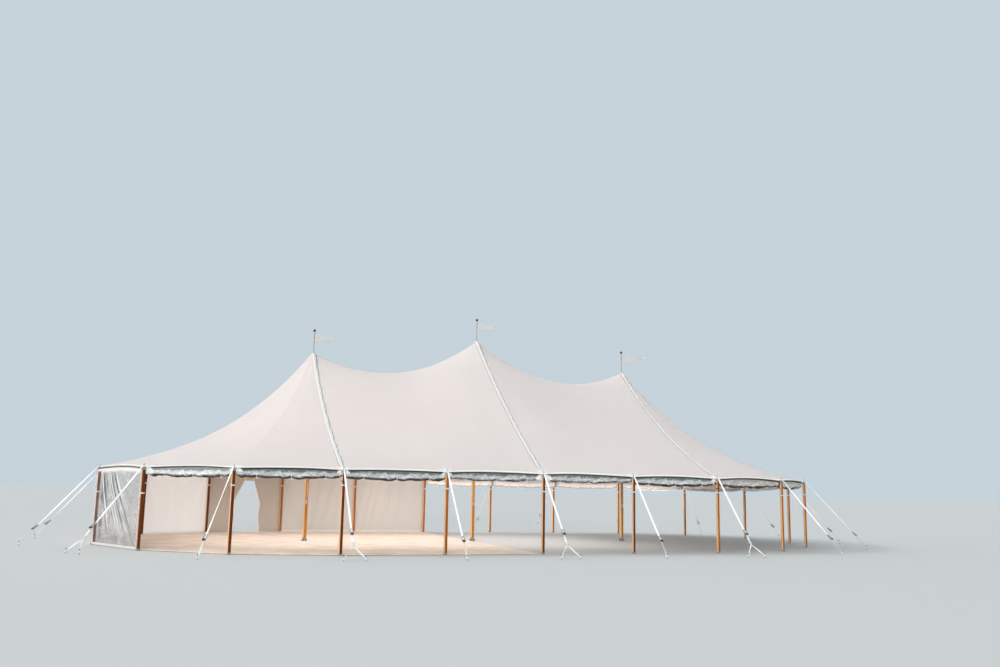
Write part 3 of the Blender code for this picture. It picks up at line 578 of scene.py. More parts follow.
def endHeight(x, y):
    # rays from the peak to the eave, slacker away from the seams
    along = np.maximum(np.abs(x) - straightHalf, 0)
    bearing = np.arctan2(along, np.abs(y))
    arch, edge = endEdge(bearing)
    low = eaveZ + cloth["rise"] * arch
    t = clip((np.hypot(along, y) - notch) / (edge - notch), 0, 1)
    slack = cloth["endSlack"] + (cloth["outerSlack"] - cloth["endSlack"]) * cos(bearing) ** cloth["endBlend"]
    return low + (endHigh.z - low) * hang(t, slack)


# Folds at each side pole and at each peak: depth, number round, and the lengths they die away and rise over
tension = {"corner": (0.009, 11, 0.85, 0.12), "peak": (0.016, 18, 0.9, 0.35), "swell": 0.012}


def foldsAt(x, y, centres, ahead, depth, count, reach, root):
    # depth cos(count bearing) exp(-far / reach) (1 - exp(-far / root)), summed over the centres
    dx, dy = x[..., None] - centres[:, 0], y[..., None] - centres[:, 1]
    far = np.hypot(dx, dy)
    fold = cos(count * (np.arctan2(dy, dx) - ahead)) * exp(-far / reach) * (1 - exp(-far / root))
    return depth * fold.sum(-1)


def roofHeight(x, y):
    # the shape, with folds that fan out and die away, and a slow swell
    height = np.where(np.abs(x) <= straightHalf, bayHeight(x, y), endHeight(x, y))
    peaks = stack([peakX, 0 * peakX], -1)
    height = height + foldsAt(x, y, polePlan, poleAngle, *tension["corner"])
    height = height + foldsAt(x, y, peaks, 0, *tension["peak"])
    return height + tension["swell"] * sin(1.25 * x + 0.45 * y + 1) * sin(1.05 * y - 0.55 * x)


def drape(x, y, lift=0.0):
    # points on the roof over a plan place, moved out along the roof's normal by lift
    x, y = np.broadcast_arrays(np.asarray(x, float), np.asarray(y, float))
    step = 0.01
    slopeX = (roofHeight(x + step, y) - roofHeight(x - step, y)) / (2 * step)
    slopeY = (roofHeight(x, y + step) - roofHeight(x, y - step)) / (2 * step)
    normal = unit(stack([-slopeX, -slopeY, np.ones_like(x)], -1))
    return stack([x, y, roofHeight(x, y)], -1) + normal * np.asarray(lift)[..., None]


def layer(x, y, top, under, finish=0):
    # a closed layer of cloth on the roof, between two lifts over it
    return tube(concatenate([drape(x, y, top), drape(x, y, under)[:, ::-1]], 1), finish)


def eaveAt(place):
    # place counts side poles anticlockwise; gives the plan point on the eave, the outward
    # direction there, blended from pole to pole, and the arch
    first = np.floor(place).astype(int)
    share = (place - first)[..., None]
    first, second = first % poleCount, (first + 1) % poleCount
    start, end = cornerPlan[first], cornerPlan[second]
    along = unit(end - start)
    inward = stack([-along[..., 1], along[..., 0]], -1)
    arch = archOf(share)
    point = start + (end - start) * share + inward * cloth["camber"] * arch
    return point, unit(poleOut[first] * (1 - share) + poleOut[second] * share), arch[..., 0]


roof = {"columnsPerBay": 26, "slopeRows": 58, "grading": 1.3, "headRows": 4, "panelsPerBay": 3,
        "panelsPerChord": 2}
slopeShares = linspace(0, 1, roof["slopeRows"] + 1) ** roof["grading"]


def sheetArea(points):
    # the sum of the grid's quads, each as two triangles
    a, b, c, d = points[:-1, :-1], points[:-1, 1:], points[1:, 1:], points[1:, :-1]
    doubled = stack([np.cross(b - a, c - a), np.cross(c - a, d - a)])
    return float(np.linalg.norm(doubled, axis=-1).sum() / 2)


def layRoof(name, points, panels, down):
    grid = stack(np.meshgrid(panels, down), -1)
    piece = makePiece(name + "_cloth", [shell(points, uv=grid)], [sailcloth], [name],
                      thickness=cloth["sheetThickness"])
    round(sheetArea(points), 2)


def lengthDown(points):
    return float(np.linalg.norm(np.diff(points, axis=0), axis=2).sum(0).max())


def roofBay(name, side):
    head = notch * sin(linspace(0, pi / 2, roof["headRows"] + 1))
    reach = concatenate([head[:-1], notch + (edgeHalf - notch) * slopeShares])
    reach = concatenate([-reach[::-1], reach[1:]])[:, None]
    u = linspace(0, 1, 2 * roof["columnsPerBay"] + 1)
    inset = np.sqrt(np.maximum(notch ** 2 - reach ** 2, 0))
    x = side * (inset + u * (straightHalf - 2 * inset))
    points = drape(x, reach * bayEdge(side * u * straightHalf)[1] / edgeHalf)
    if side < 0:
        points = points[:, ::-1]
    panels = 2 * roof["panelsPerBay"] * (u if side > 0 else u + 1)
    long = lengthDown(points)
    flat = max(straightHalf, sheetArea(points) / long) * 1.02, long * 1.01
    layRoof(name, points, panels, addedUp(points, 0))


def roofEnd(name, side, firstPanel):
    bearing = linspace(0, pi, endCount * roof["columnsPerBay"] + 1)
    far = notch + (endEdge(bearing)[1] - notch) * slopeShares[:, None]
    points = drape(side * (straightHalf + far * sin(bearing)), -far * cos(bearing))
    if side > 0:
        points = points[:, ::-1]
    panels = endCount * roof["panelsPerChord"] * bearing / pi + firstPanel
    layRoof(name, points, panels, linspace(0, 8, len(points)))


roofBay("roof_left_bay", -1)
roofBay("roof_right_bay", 1)
roofEnd("roof_left_end", -1, 40)
roofEnd("roof_right_end", 1, 20)
print("sailcloth laid")


# Seam tapes between the roof's panels

tape = {"width": 0.016, "lift": 0.0006, "thickness": 0.0010, "rows": 60, "longStart": 0.25, "shortStart": 1.4}


def tapeShell(x, y, sideways, width, lift, thickness, finish=0):
    # a strip of roof beside a line: sideways is the plan direction across it
    offsets = np.array([-0.5, 0.5]) * width
    x, y = x[:, None] + offsets * sideways[0], y[:, None] + offsets * sideways[1]
    return layer(x, y, lift + thickness, lift, finish)


def panelTapes():
    shells = []
    size = tape["width"], tape["lift"], tape["thickness"]
    panelWidth = bayLength / roof["panelsPerBay"]
    for side in (-1, 1):
        for i in range(1, round(straightHalf / panelWidth)):
            edge = bayEdge(side * i * panelWidth)[1]
            y = linspace(-edge, edge, tape["rows"])
            shells.append(tapeShell(0 * y + side * i * panelWidth, y, (1, 0), *size))
        for i in range(1, endCount * roof["panelsPerChord"]):
            bearing = i * endStep / roof["panelsPerChord"]
            start = tape["shortStart" if i % roof["panelsPerChord"] else "longStart"]
            far = notch + (endEdge(bearing)[1] - notch) * slopeShares[2:]
            far = np.unique(np.maximum(start, far))
            x, y = side * (straightHalf + far * sin(bearing)), -far * cos(bearing)
            shells.append(tapeShell(x, y, (side * cos(bearing), sin(bearing)), *size))
    makePiece("panel_seams", shells, [seamCloth])


panelTapes()


# Laced joints at the centre poles: a white edge, the flap under it, the gap as a dark strip of painted shadow,
# and its loops

lacing = {"edgeFrom": -0.055, "edgeWidth": 0.044, "edgeLift": 0.009, "flapWidth": 0.046, "flapLift": 0.0045,
          "gapWidth": 0.030, "gapLift": 0.002, "thickness": 0.002, "start": 0.085, "rows": 260,
          "loopEvery": 0.16, "loopRadius": 0.0055, "loopWidth": 0.085, "loopSlant": 0.07}


def lacedJoint(peak, side, half):
    reach = linspace(lacing["start"], edgeHalf - 0.01, lacing["rows"])
    across = linspace(0, 1, 7)
    # free edges wander a little, and the flap lifts between the loops
    wave = 0.005 * sin(fullTurn * reach / 0.41) + 0.006 * sin(fullTurn * reach / 0.83 + peak)
    zigzag = 0.008 * np.abs(np.mod(reach / lacing["loopEvery"], 2) - 1) - 0.004
    edgeLeft = lacing["edgeFrom"] + 0 * reach
    edgeRight = edgeLeft + lacing["edgeWidth"] + 0.4 * wave
    flapRight = edgeRight + lacing["flapWidth"] + wave + zigzag
    gapRight = flapRight + lacing["gapWidth"] * clip(2.3 - reach / 0.9, 1.0, 2.2) - zigzag
    ruffle = 0.004 + 0.009 * across ** 3 * (1 + sin(fullTurn * reach / lacing["loopEvery"]))[:, None]
    # each strip of cloth: the offsets from the seam that it lies between, its lift and its finish
    # the third strip, finish 1, is the gap: painted shadow
    strips = ((edgeLeft, edgeRight, lacing["edgeLift"] + 0.006 * sin(pi * across), 0),
              (edgeRight - 0.006, flapRight, lacing["flapLift"] + ruffle, 3),
              (flapRight - 0.008, gapRight, lacing["gapLift"] + 0.001 * across, 1))
    shells = []
    for first, last, lift, finish in strips:
        x = peakX[peak] + first[:, None] + (last - first)[:, None] * across
        shells.append(layer(x, side * reach[:, None], lift, lift - lacing["thickness"], finish))
    gapMiddle = peakX[peak] + (flapRight + gapRight) / 2
    for place in np.arange(lacing["start"] + 0.2, edgeHalf - 0.2, lacing["loopEvery"]):
        x = np.interp(place, reach, gapMiddle) + (across - 0.5) * lacing["loopWidth"]
        y = side * place + (across - 0.5) * lacing["loopSlant"]
        shells.append(rope(lacing["loopRadius"], drape(x, y, 0.007 + 0.012 * sin(pi * across)), finish=2))
    finishes = [coverCloth, gapShadow, webbing, flapCloth]
    makePiece(f"laced_joint_{peakNames[peak]}_{half}", shells, finishes)


for peak in range(3):
    lacedJoint(peak, -1, "front")
    lacedJoint(peak, 1, "back")
print("joints laced")


# Eave hem: a band over the edge, a rope bead in it and a short lip that hangs

hem = {"band": 0.050, "bead": 0.010, "lip": 0.019, "poleLip": 0.010, "poleReach": 0.10, "lift": 0.003,
       "stepsPerBay": 40, "thickness": 0.0025}


def eaveHem():
    place = linspace(0, poleCount, poleCount * hem["stepsPerBay"], endpoint=False)
    point, out, _ = eaveAt(place)
    nearPole = exp(-(np.abs(place - np.round(place)) * bayLength / hem["poleReach"]) ** 2)
    lip = hem["lip"] + (hem["poleLip"] - hem["lip"]) * nearPole
    # section from the inner edge of the band outward: distance outward and height over the roof
    bead = linspace(0.75 * pi, -0.35 * pi, 7)
    away = concatenate([[-hem["band"], -0.035, -0.018], hem["bead"] * cos(bead), [0.005, 0.004]])
    rise = concatenate([[0.001, 0.002, 0.003], hem["bead"] * sin(bead)])
    height = concatenate([np.tile(rise, (len(place), 1)), -lip[:, None] * [0.5, 1.0]], 1)
    plan = point[:, None] + out[:, None] * away[:, None]
    over = point[:, None] + out[:, None] * np.minimum(away, 0)[:, None]
    height = roofHeight(over[..., 0], over[..., 1]) + hem["lift"] + height
    points = concatenate([plan, height[..., None]], -1).transpose(1, 0, 2)
    makePiece("eave_hem", [shell(points, wrap=True)], [trimCloth], thickness=hem["thickness"])


eaveHem()


# Corner patches: half a disc of doubled cloth and short straps that fan out from each side pole

patch = {"inner": 0.045, "radius": 0.27, "rings": 8, "steps": 20, "lift": 0.0045, "thickness": 0.0015,
         "straps": 5, "strapFan": 0.72, "strapStart": 0.03, "strapWidth": 0.016, "strapLength": 0.40,
         "strapThickness": 0.0016}


def cornerPatches():
    shells = []
    strap = patch["strapWidth"], patch["lift"] + 0.0005, patch["strapThickness"]
    for centre, inward in zip(cornerPlan[..., None], -poleOut[..., None]):
        sideways = np.array([-inward[1], inward[0]])
        spread = pi / 2 - (endStep / 2 if abs(centre[0, 0]) > straightHalf + 0.01 else 0.04)
        turn = linspace(-spread, spread, patch["steps"])
        far = linspace(patch["inner"], patch["radius"], patch["rings"])[:, None] * (1 - 0.10 * cos(2 * turn))
        x, y = centre[..., None] + far * (inward * cos(turn) + sideways * sin(turn))[:, None]
        shells.append(layer(x, y, patch["lift"], patch["lift"] - patch["thickness"]))
        for bearing in linspace(-patch["strapFan"], patch["strapFan"], patch["straps"]) * spread:
            way = inward * cos(bearing) + sideways * sin(bearing)
            x, y = centre + way * linspace(patch["strapStart"], patch["strapLength"], 9)
            shells.append(tapeShell(x, y, (-way[1], way[0]), *strap, 1))
    makePiece("corner_patches", shells, [patchCloth, coverCloth])


cornerPatches()
print("hem and patches sewn")


# Peak caps: a cloth collar over each centre pole's head

headTop = peakZ + 0.012
cap = {
    "steps": 48,
    # radius, and lift over the roof or height over the pole's head
    "skirt": ((0.112, 0.003), (0.106, 0.006), (0.098, 0.008), (0.090, 0.009), (0.081, 0.009), (0.074, 0.009)),
    "crown": ((0.0745, 0.004), (0.066, 0.009), (0.045, 0.018), (0.0285, 0.026)),
    "thickness": 0.002,
}


def peakCap(peak):
    turn = around(cap["steps"])
    radius, lift = np.array(cap["skirt"]).T[..., None]
    skirt = drape(peakX[peak] + radius * cos(turn), radius * sin(turn), lift)
    radius, height = np.array(cap["crown"]).T[..., None]
    crown = ring(radius, turn, headTop[peak] + height) + [peakX[peak], 0, 0]
    part = shell(concatenate([skirt, crown])[::-1], wrap=True)
    makePiece("peak_cap_" + peakNames[peak], [part], [seamCloth], thickness=cap["thickness"])


for peak in range(3):
    peakCap(peak)


# Flagstaffs, balls and pennants

flag = {"staffRadius": 0.016, "ballRadius": 0.045, "flange": 0.050, "boltRing": 0.038,
        "lengths": (1.00, 1.02, 1.16), "hoist": 0.31, "tip": 0.030, "thickness": 0.0015,
        "droop": 0.055, "wave": 0.045, "waves": 1.3, "lifts": (0.04, 0.05, 0.18)}


def bandShell(inner, outer, z, half, bevel, sides, finish=0):
    # a flat ring about the upright axis, half its height above and below z
    profile = [(inner, z + half), (outer, z + half - bevel), (outer, z - half + bevel), (inner, z - half)]
    return turnedShell(profile, sides, finish, False)


def flagstaff(peak):
    name, at = peakNames[peak], (peakX[peak], 0)
    low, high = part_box("flag_" + name)
    rod, ball, flange = flag["staffRadius"], flag["ballRadius"], flag["flange"]
    ballZ = high.z - ball
    arc = linspace(pi - 0.03, np.arcsin(rod / ball), 18)
    collar = rod * 1.35
    staff = [(rod, ballZ - 0.040), (collar, ballZ - 0.045), (collar, ballZ - 0.060), (rod, ballZ - 0.065),
             (rod, low.z + 0.055), (0.024, low.z + 0.045), (0.026, low.z + 0.022), (flange, low.z + 0.016),
             (flange, low.z + 0.002)]
    sphere = stack([ball * sin(arc), ballZ - ball * cos(arc)], -1)
    shells = [turnedShell(sphere, 28, 1), turnedShell(staff, 20)]
    bolt = turnedShell([(0.002, 0.027), (0.006, 0.026), (0.007, 0.018), (0.007, 0.012)], 6)
    for x, y, z in ring(flag["boltRing"], around(4) + 0.4, low.z):
        shells.append(placed(bolt, x, y, z=z))
    staffPiece = makePiece("flagstaff_" + name, shells, [greySteel, darkSteel], ["flag_" + name],
                           at=at)

    along, across = np.meshgrid(linspace(0, 1, 60), linspace(-0.5, 0.5, 16))
    hoist, length = flag["hoist"], flag["lengths"][peak]
    width = across * (hoist + (flag["tip"] - hoist) * along)
    top = ballZ - 1.4 * ball
    middle = top - hoist / 2 - flag["droop"] * (1 - exp(-3.5 * along)) + flag["lifts"][peak] * along ** 3
    # two waves, growing from the hoist: a slow one and a quick slanted one
    slow = flag["wave"] * along * sin(fullTurn * flag["waves"] * along)
    quick = 0.013 * along ** 0.7 * sin(fullTurn * (3.1 * along + 0.8 * across) + peak)
    # the last third is twisted about its length
    twist = 1.4 * clip((along - 0.66) / 0.28, 0, 1) ** 2
    sway = 0.012 * sin(fullTurn * 1.7 * along + peak) * along
    y, z = slow + quick + width * sin(twist), middle + width * cos(twist) + sway
    points = stack([rod * 0.6 + along * length, y, z], -1)
    piece = makePiece("pennant_" + name, [shell(points)], [pennantCloth],
                      thickness=flag["thickness"], at=at)
    ties = [bandShell(0.017, 0.021, z, 0.008, 0.002, 16) for z in (top - 0.02, top - hoist + 0.02)]
    makePiece("pennant_ties_" + name, ties, [webbing], at=at)


for peak in range(3):
    flagstaff(peak)
print("flags flown")


# Centre poles

cleat = {"z": 1.35, "turns": 4}


def centrePole(peak):
    top, cleatZ = headTop[peak], cleat["z"]
    wood = [(0.060, top - 0.16), (0.0645, top - 0.30), (0.065, top - 2.2), (0.065, 0.30), (0.064, 0.075)]
    head = [(0.066, top), (0.070, top - 0.004), (0.070, top - 0.150), (0.067, top - 0.160),
            (0.060, top - 0.161)]
    foot = [(0.066, 0.135), (0.072, 0.130), (0.072, 0.022), (0.106, 0.018), (0.110, 0.013), (0.110, 0.001)]
    shells = [turnedShell(wood, 48), turnedShell(head, 48, 1), turnedShell(foot, 48, 1)]
    for away in ring(1.0, around(4) + 0.78, 0.0):
        axes = [upward, away, np.cross(upward, away)]
        shells.append(plate((0.075, 0.036, 0.006), away * 0.088 + upward * 0.058, axes, 1))
    # halyard: turns of rope round a cleat at chest height
    for size, y in (((0.20, 0.022, 0.020), -0.092), ((0.05, 0.024, 0.030), -0.074)):
        shells.append(plate(size, (0, y, cleatZ), [upward, [1, 0, 0], [0, 1, 0]], 1))
    wind = linspace(0, fullTurn * cleat["turns"], 160)
    turns = stack([0.022 * sin(wind), -0.088 - 0.016 * cos(wind), cleatZ + 0.052 * sin(wind / 2 + 0.4)], -1)
    shells.append(rope(0.006, turns, (0.3, 0.2, 1), 2))
    z = linspace(cleatZ + 0.05, top - 0.10, 40)
    shells.append(rope(0.005, stack([0.012 + 0 * z, -0.076 - 0.004 * sin(z * 3), z], -1), (1, 0, 0), 2))
    node = "centre_pole_" + peakNames[peak]
    makePiece(node + "_turned", shells, [paleWood, zincSteel, webbing], [node],
              at=(peakX[peak], 0))


for peak in range(3):
    centrePole(peak)


# Side poles; the photo shows some redder, some with their cord at another height, some with a hook

redderPoles = {16, 17, 18, 19, 20, 21, 0, 2, 3}
bandHeights = {19: 1.60, 20: 1.60, 21: 1.87, 0: 1.92, 4: 1.90}
hookedPoles = {0, 4, 17, 18}
wood = [(0.050, shoulderZ - 0.012), (0.053, shoulderZ - 0.05), (0.0532, 1.7), (0.053, 0.6), (0.0528, 0.050),
        (0.050, 0.004)]
ferrule = [(0.050, shoulderZ), (0.0545, shoulderZ - 0.004), (capRadius, shoulderZ - 0.010),
           (capRadius, shoulderZ - 0.064), (0.0535, shoulderZ - 0.070), (0.051, shoulderZ - 0.071)]
shoe = [(0.0540, 0.055), (0.0545, 0.052), (0.0545, 0.004), (0.050, 0.001)]
spike = [(0.002, poleHigh.z), (0.0055, poleHigh.z - 0.004), (0.008, poleHigh.z - 0.012),
         (0.008, shoulderZ - 0.001)]
washer = [(0.0095, eaveZ + 0.0125), (0.028, eaveZ + 0.012), (0.030, eaveZ + 0.010), (0.030, eaveZ + 0.0075),
          (0.0095, eaveZ + 0.007)]
poleShells = [turnedShell(wood, 40), turnedShell(ferrule, 40, 1), turnedShell(shoe, 40, 1),
              turnedShell(spike, 14, 1), turnedShell(washer, 28, 1)]


def sidePole(number):
    # three turns of white cord, and a knot
    bandZ = bandHeights.get(number, 1.86 + 0.02 * sin(2.3 * number))
    wind, knot = linspace(0, fullTurn * 3.2, 110), linspace(0, fullTurn, 40)
    cord = ring(0.0568, wind, bandZ + 0.0105 * wind / fullTurn)
    knotZ = bandZ + 0.012 + 0.016 * sin(2 * knot)
    bow = stack([-0.066 - 0.010 * cos(2 * knot), 0.020 * sin(knot), knotZ], -1)
    shells = poleShells + [rope(0.0052, cord, finish=2), rope(0.0048, bow, (0.2, 0.1, 1), 2)]
    if number in hookedPoles:
        # a dark strap and hook on the inner side near the top
        shells += [bandShell(0.0555, 0.0572, shoulderZ - down, 0.016, 0.002, 40, 3) for down in (0.15, 0.30)]
        axes = [upward, [0, 1, 0], [1, 0, 0]]
        shells.append(plate((0.16, 0.030, 0.012), (-0.064, 0, shoulderZ - 0.22), axes, 3))
    finishes = [varnishedWood if number in redderPoles else amberWood, zincSteel, webbing, darkSteel]
    makePiece(poleNames[number] + "_turned", shells, finishes, [poleNames[number]],
              at=(*polePlan[number], poleAngle[number]))


for number in range(poleCount):
    sidePole(number)
print("poles set")


# Guys: strap, ratchet, lower strap or fork, and stakes, made along +X and turned to their pole.
# The strap is twisted, at three poles the other way

guy = {"startOut": 0.0145, "startZ": eaveZ + 0.050, "startWidth": 0.026, "bow": 0.006, "reach": 2.07,
       "stakeZ": 0.07, "width": 0.048, "lowerWidth": 0.92 * 0.048, "thickness": 0.003, "forkZ": 0.38,
       "forkSpread": 0.29, "legWidth": 0.036, "ratchetAt": 0.80, "forkedRatchetAt": 0.72, "stakeRadius": 0.014,
       "stakeTop": 0.150, "twist": 0.75, "otherWay": {18, 19, 20}}
forkedGuys = {0, 2, 4, 11, 13, 15, 17, 20}


def straightStrap(start, end, width, startWidth=0, bow=0.0, twist=0.0):
    # a flat section carried along a shallow bow, and turned about it by twist times a half sine
    share = linspace(0, 1, 14)
    centre = start + (end - start) * share[:, None] - upward * (bow * archOf(share))[:, None]
    startWidth = startWidth or width
    widths = startWidth + (width - startWidth) * clip(share / 0.10, 0, 1)
    section = strapSection(1.0, guy["thickness"]) * stack([widths, 1 + 0 * widths], -1)[:, None]
    along = unit(np.gradient(centre, axis=0))
    level = unit(np.cross(upward, along))
    above = np.cross(along, level)
    turn = twist * sin(pi * share)[:, None]
    side, up = level * cos(turn) + above * sin(turn), above * cos(turn) - level * sin(turn)
    return tube(carry(section, centre, side, up))


def ratchet(middle, along, level, up):
    # two side plates, a drum with wound strap, a handle and its grip
    handle = [unit(along + 0.22 * up), level, unit(up - 0.22 * along)]
    shells = []
    for side in (-level, level):
        shells.append(plate((0.185, 0.004, 0.034), middle + side * 0.032 + up * 0.006, [along, level, up], 1))
        grip = middle + side * 0.038 + along * 0.020 + up * 0.028
        shells.append(plate((0.150, 0.004, 0.026), grip, handle, 1))
    # each bar: place along the strap, radius, finish and share of the drum's length
    bars = ((0.010, 0.021, 0, 0.62), (0.010, 0.0095, 1, 1.05), (-0.080, 0.007, 1, 0.85),
            (0.088, 0.009, 1, 0.95))
    for place, radius, finish, share in bars:
        path = middle + along * place + up * 0.010 + linspace(-0.042, 0.042, 4)[:, None] * level * share
        shells.append(rope(radius, path, up, finish, 14))
    shells.append(plate((0.060, 0.082, 0.014), middle + along * 0.098 + up * 0.044, handle, 2))
    return shells


def guyShells(forked, twist):
    start = np.array([guy["startOut"], 0, guy["startZ"]])
    foot = np.array([guy["reach"], 0, guy["stakeZ"]])
    along, level = unit(foot - start), np.array([0.0, 1.0, 0.0])
    up = np.cross(along, level)
    middle = start + (foot - start) * guy["forkedRatchetAt" if forked else "ratchetAt"]
    shells = ratchet(middle, along, level, up)
    upper = guy["width"], guy["startWidth"], guy["bow"], twist
    shells.append(straightStrap(start, middle + along * 0.02, *upper))
    # ring on the spike, and a wrapped loop of strap that carries it over the cloth
    turn, wind = linspace(0, fullTurn, 36), linspace(0, fullTurn * 3, 90)
    shells.append(rope(0.0045, ring(0.0155, turn, guy["startZ"]), finish=1, sides=8, caps=False))
    wrap = ring(0.0175, wind, eaveZ + 0.018 + 0.0085 * wind / fullTurn)
    shells.append(rope(0.0062, wrap, sides=8, squash=0.8))
    eye = wound([0.030, 0, guy["startZ"] - 0.010], turn, [0.016, 0, 0], [0, 0, 0.014])
    shells.append(rope(0.0035, eye, (0, 1, 0.01), 1, caps=False))
    stakes = [foot]
    if forked:
        fork = start + (foot - start) * (start[2] - guy["forkZ"]) / (start[2] - foot[2])
        stakes = [foot + side * guy["forkSpread"] * level for side in (-1, 1)]
        shells.append(straightStrap(middle - along * 0.06, fork, guy["width"]))
        shells += [straightStrap(fork, stake, guy["legWidth"], twist=twist) for stake in stakes]
        hoop = wound(fork, linspace(0, fullTurn, 30), 0.030 * along, 0.030 * level)
        shells.append(rope(0.006, hoop, up, 1, 8, False))
        # the spare strap is wound round the line over the fork and tied
        wind = linspace(0, fullTurn * 5, 120)
        swell = (1 + 0.25 * sin(wind / 10))[:, None]
        core = fork - along * (0.055 + 0.012 * wind / fullTurn)[:, None]
        wrap = wound(core, wind, 0.031 * swell * level, 0.016 * swell * up)
        shells.append(pathShell(strapSection(0.020, 0.003, 0.0015), wrap, along))
    else:
        shells.append(straightStrap(middle - along * 0.06, foot, guy["lowerWidth"], twist=-twist))
    top, thick = guy["stakeTop"], guy["stakeRadius"]
    peg = [(0.006, top), (0.019, top - 0.002), (0.023, top - 0.008), (0.021, top - 0.017),
           (thick, top - 0.022), (thick, 0.001)]
    for x, y, _ in stakes:
        shells.append(placed(turnedShell(peg, 18, 1), x, y))
        shells.append(placed(bandShell(thick + 0.001, thick + 0.005, 0.069, 0.025, 0.004, 18), x, y))
    return shells


guyForms = {
    (forked, way): guyShells(forked, way * guy["twist"]) for forked in (False, True) for way in (-1, 1)
}
for number in range(poleCount):
    form = guyForms[number in forkedGuys, -1 if number in guy["otherWay"] else 1]
    node = f"guy_{number + 1:02d}"
    makePiece(node + "_strap", form, [webbing, zincSteel, darkSteel], [node],
              at=(*polePlan[number], poleAngle[number]))
print("guys tightened")


# Hanging walls, outside the side poles

wall = {"outside": 0.0625, "topZ": 2.335, "foot": 0.012, "columnsPerBay": 90, "rows": 46, "lean": 0.30,
        "thickness": 0.0012, "sheetHeight": 2.36}


def wallLine():
    # the poles' outline moved outward, mitred at each pole
    before = unit(polePlan - np.roll(polePlan, 1, 0))
    after = unit(np.roll(polePlan, -1, 0) - polePlan)
    normals = unit(stack([before[:, 1] + after[:, 1], -before[:, 0] - after[:, 0]], -1))
    half = np.arccos(clip((before * after).sum(1), -1, 1)) / 2
    return polePlan + normals / cos(half)[:, None] * wall["outside"]


wallPlan = wallLine()


def wallPoints(place, down, push):
    # place counts side poles, down runs from 0 at the top to 1 at the foot, and push is the
    # outward distance of the folds; the top leans in to the bowed eave between two poles
    first = np.floor(place).astype(int)
    share = (place - first)[..., None]
    plan = wallPlan[first % poleCount] * (1 - share) + wallPlan[(first + 1) % poleCount] * share
    edge, out, arch = eaveAt(place)
    top = wall["topZ"] + (cloth["rise"] + 0.008) * arch
    height = top - wall["foot"]
    lean = np.minimum(1, 1.6 * arch) * exp(-down * height / wall["lean"])
    plan = plan + (edge - plan) * lean[..., None] + out * np.asarray(push)[..., None]
    return concatenate([plan, (top - height * down)[..., None]], -1)


def insideBay(place, start, end):
    # a fold line never sits exactly on a pole's number, so its bay is never in doubt
    return clip(place, min(start, end) + 1e-6, max(start, end) - 1e-6)


def wallGrid(start, end, down):
    place = linspace(start, end, round(abs(end - start) * wall["columnsPerBay"]) + 1)
    return np.meshgrid(insideBay(place, start, end), down)


def gathers(place, down, depth, perBay, seed):
    # folds that lean a little: a sine whose phase wanders, deeper towards the foot
    place = place - 0.16 * down
    phase = fullTurn * perBay * place + 1.7 * sin(fullTurn * place * 1.3 + seed)
    wander = 0.5 * sin(fullTurn * place * perBay * 0.37 + 2 * seed + 0.8 * down)
    return depth * (0.25 + 0.75 * down ** 0.6) * (0.5 + 0.5 * sin(phase + wander * (1 + down)))


def cornerPulls(place, down, start, end, depth):
    # wrinkles that fan out from both top corners and die away over a metre and a half
    total = 0
    for corner, seed in ((start, 0.7), (end, 2.1)):
        across, fall = np.abs(place - corner) * chordLength, down * wall["topZ"]
        bearing = np.arctan2(across, fall + 0.10)
        total = total + cos(19 * bearing + 2 * sin(3 * bearing + seed)) * exp(-np.hypot(across, fall) / 1.3)
    return depth * total


def creases(place, down, depth, seed):
    # shallow slanting ripples, as on cloth pulled from its corners
    slant = sin(16 * place + 9 * down + seed) * sin(5.3 * place - 7 * down + 2 * seed)
    return depth * (0.5 + 0.5 * slant) + 0.3 * depth * (1 + sin(31 * place + 3 * down + seed))


def clothWall(name, start, end, depth, perBay, creaseDepth, node=(), finish=wallCloth):
    place, down = wallGrid(start, end, linspace(0, 1, wall["rows"] + 1))
    push = gathers(place, down, depth, perBay, start) + creases(place, down, creaseDepth, end)
    push = push + cornerPulls(place, down, start, end, creaseDepth) + creaseDepth
    piece = makePiece(name, [shell(wallPoints(place, down, push))], [finish], node,
                      thickness=wall["thickness"])


clothWall("end_wall_cloth_1", 19, 18, 0.010, 2.2, 0.017, ["end_wall"])
clothWall("end_wall_cloth_2", 18, 17, 0.008, 1.6, 0.020)
clothWall("end_wall_cloth_3", 17, 16, 0.008, 1.9, 0.020)
clothWall("rear_wall_cloth_2", 15, 14, 0.034, 5.6, 0.008, ["rear_wall"], shadedBackCloth)
clothWall("rear_wall_cloth_3", 14, 13, 0.034, 6.4, 0.008, (), shadedBackCloth)

door = {"left": 1.08, "right": 2.12, "peakAt": 1.66, "peakWidth": 0.10, "tieZ": 1.12, "hem": 0.035,
        "flatWidth": 1.7, "headZ": 2.01, "headWidth": 0.50, "headOut": 0.016, "columns": 96, "rows": 60}


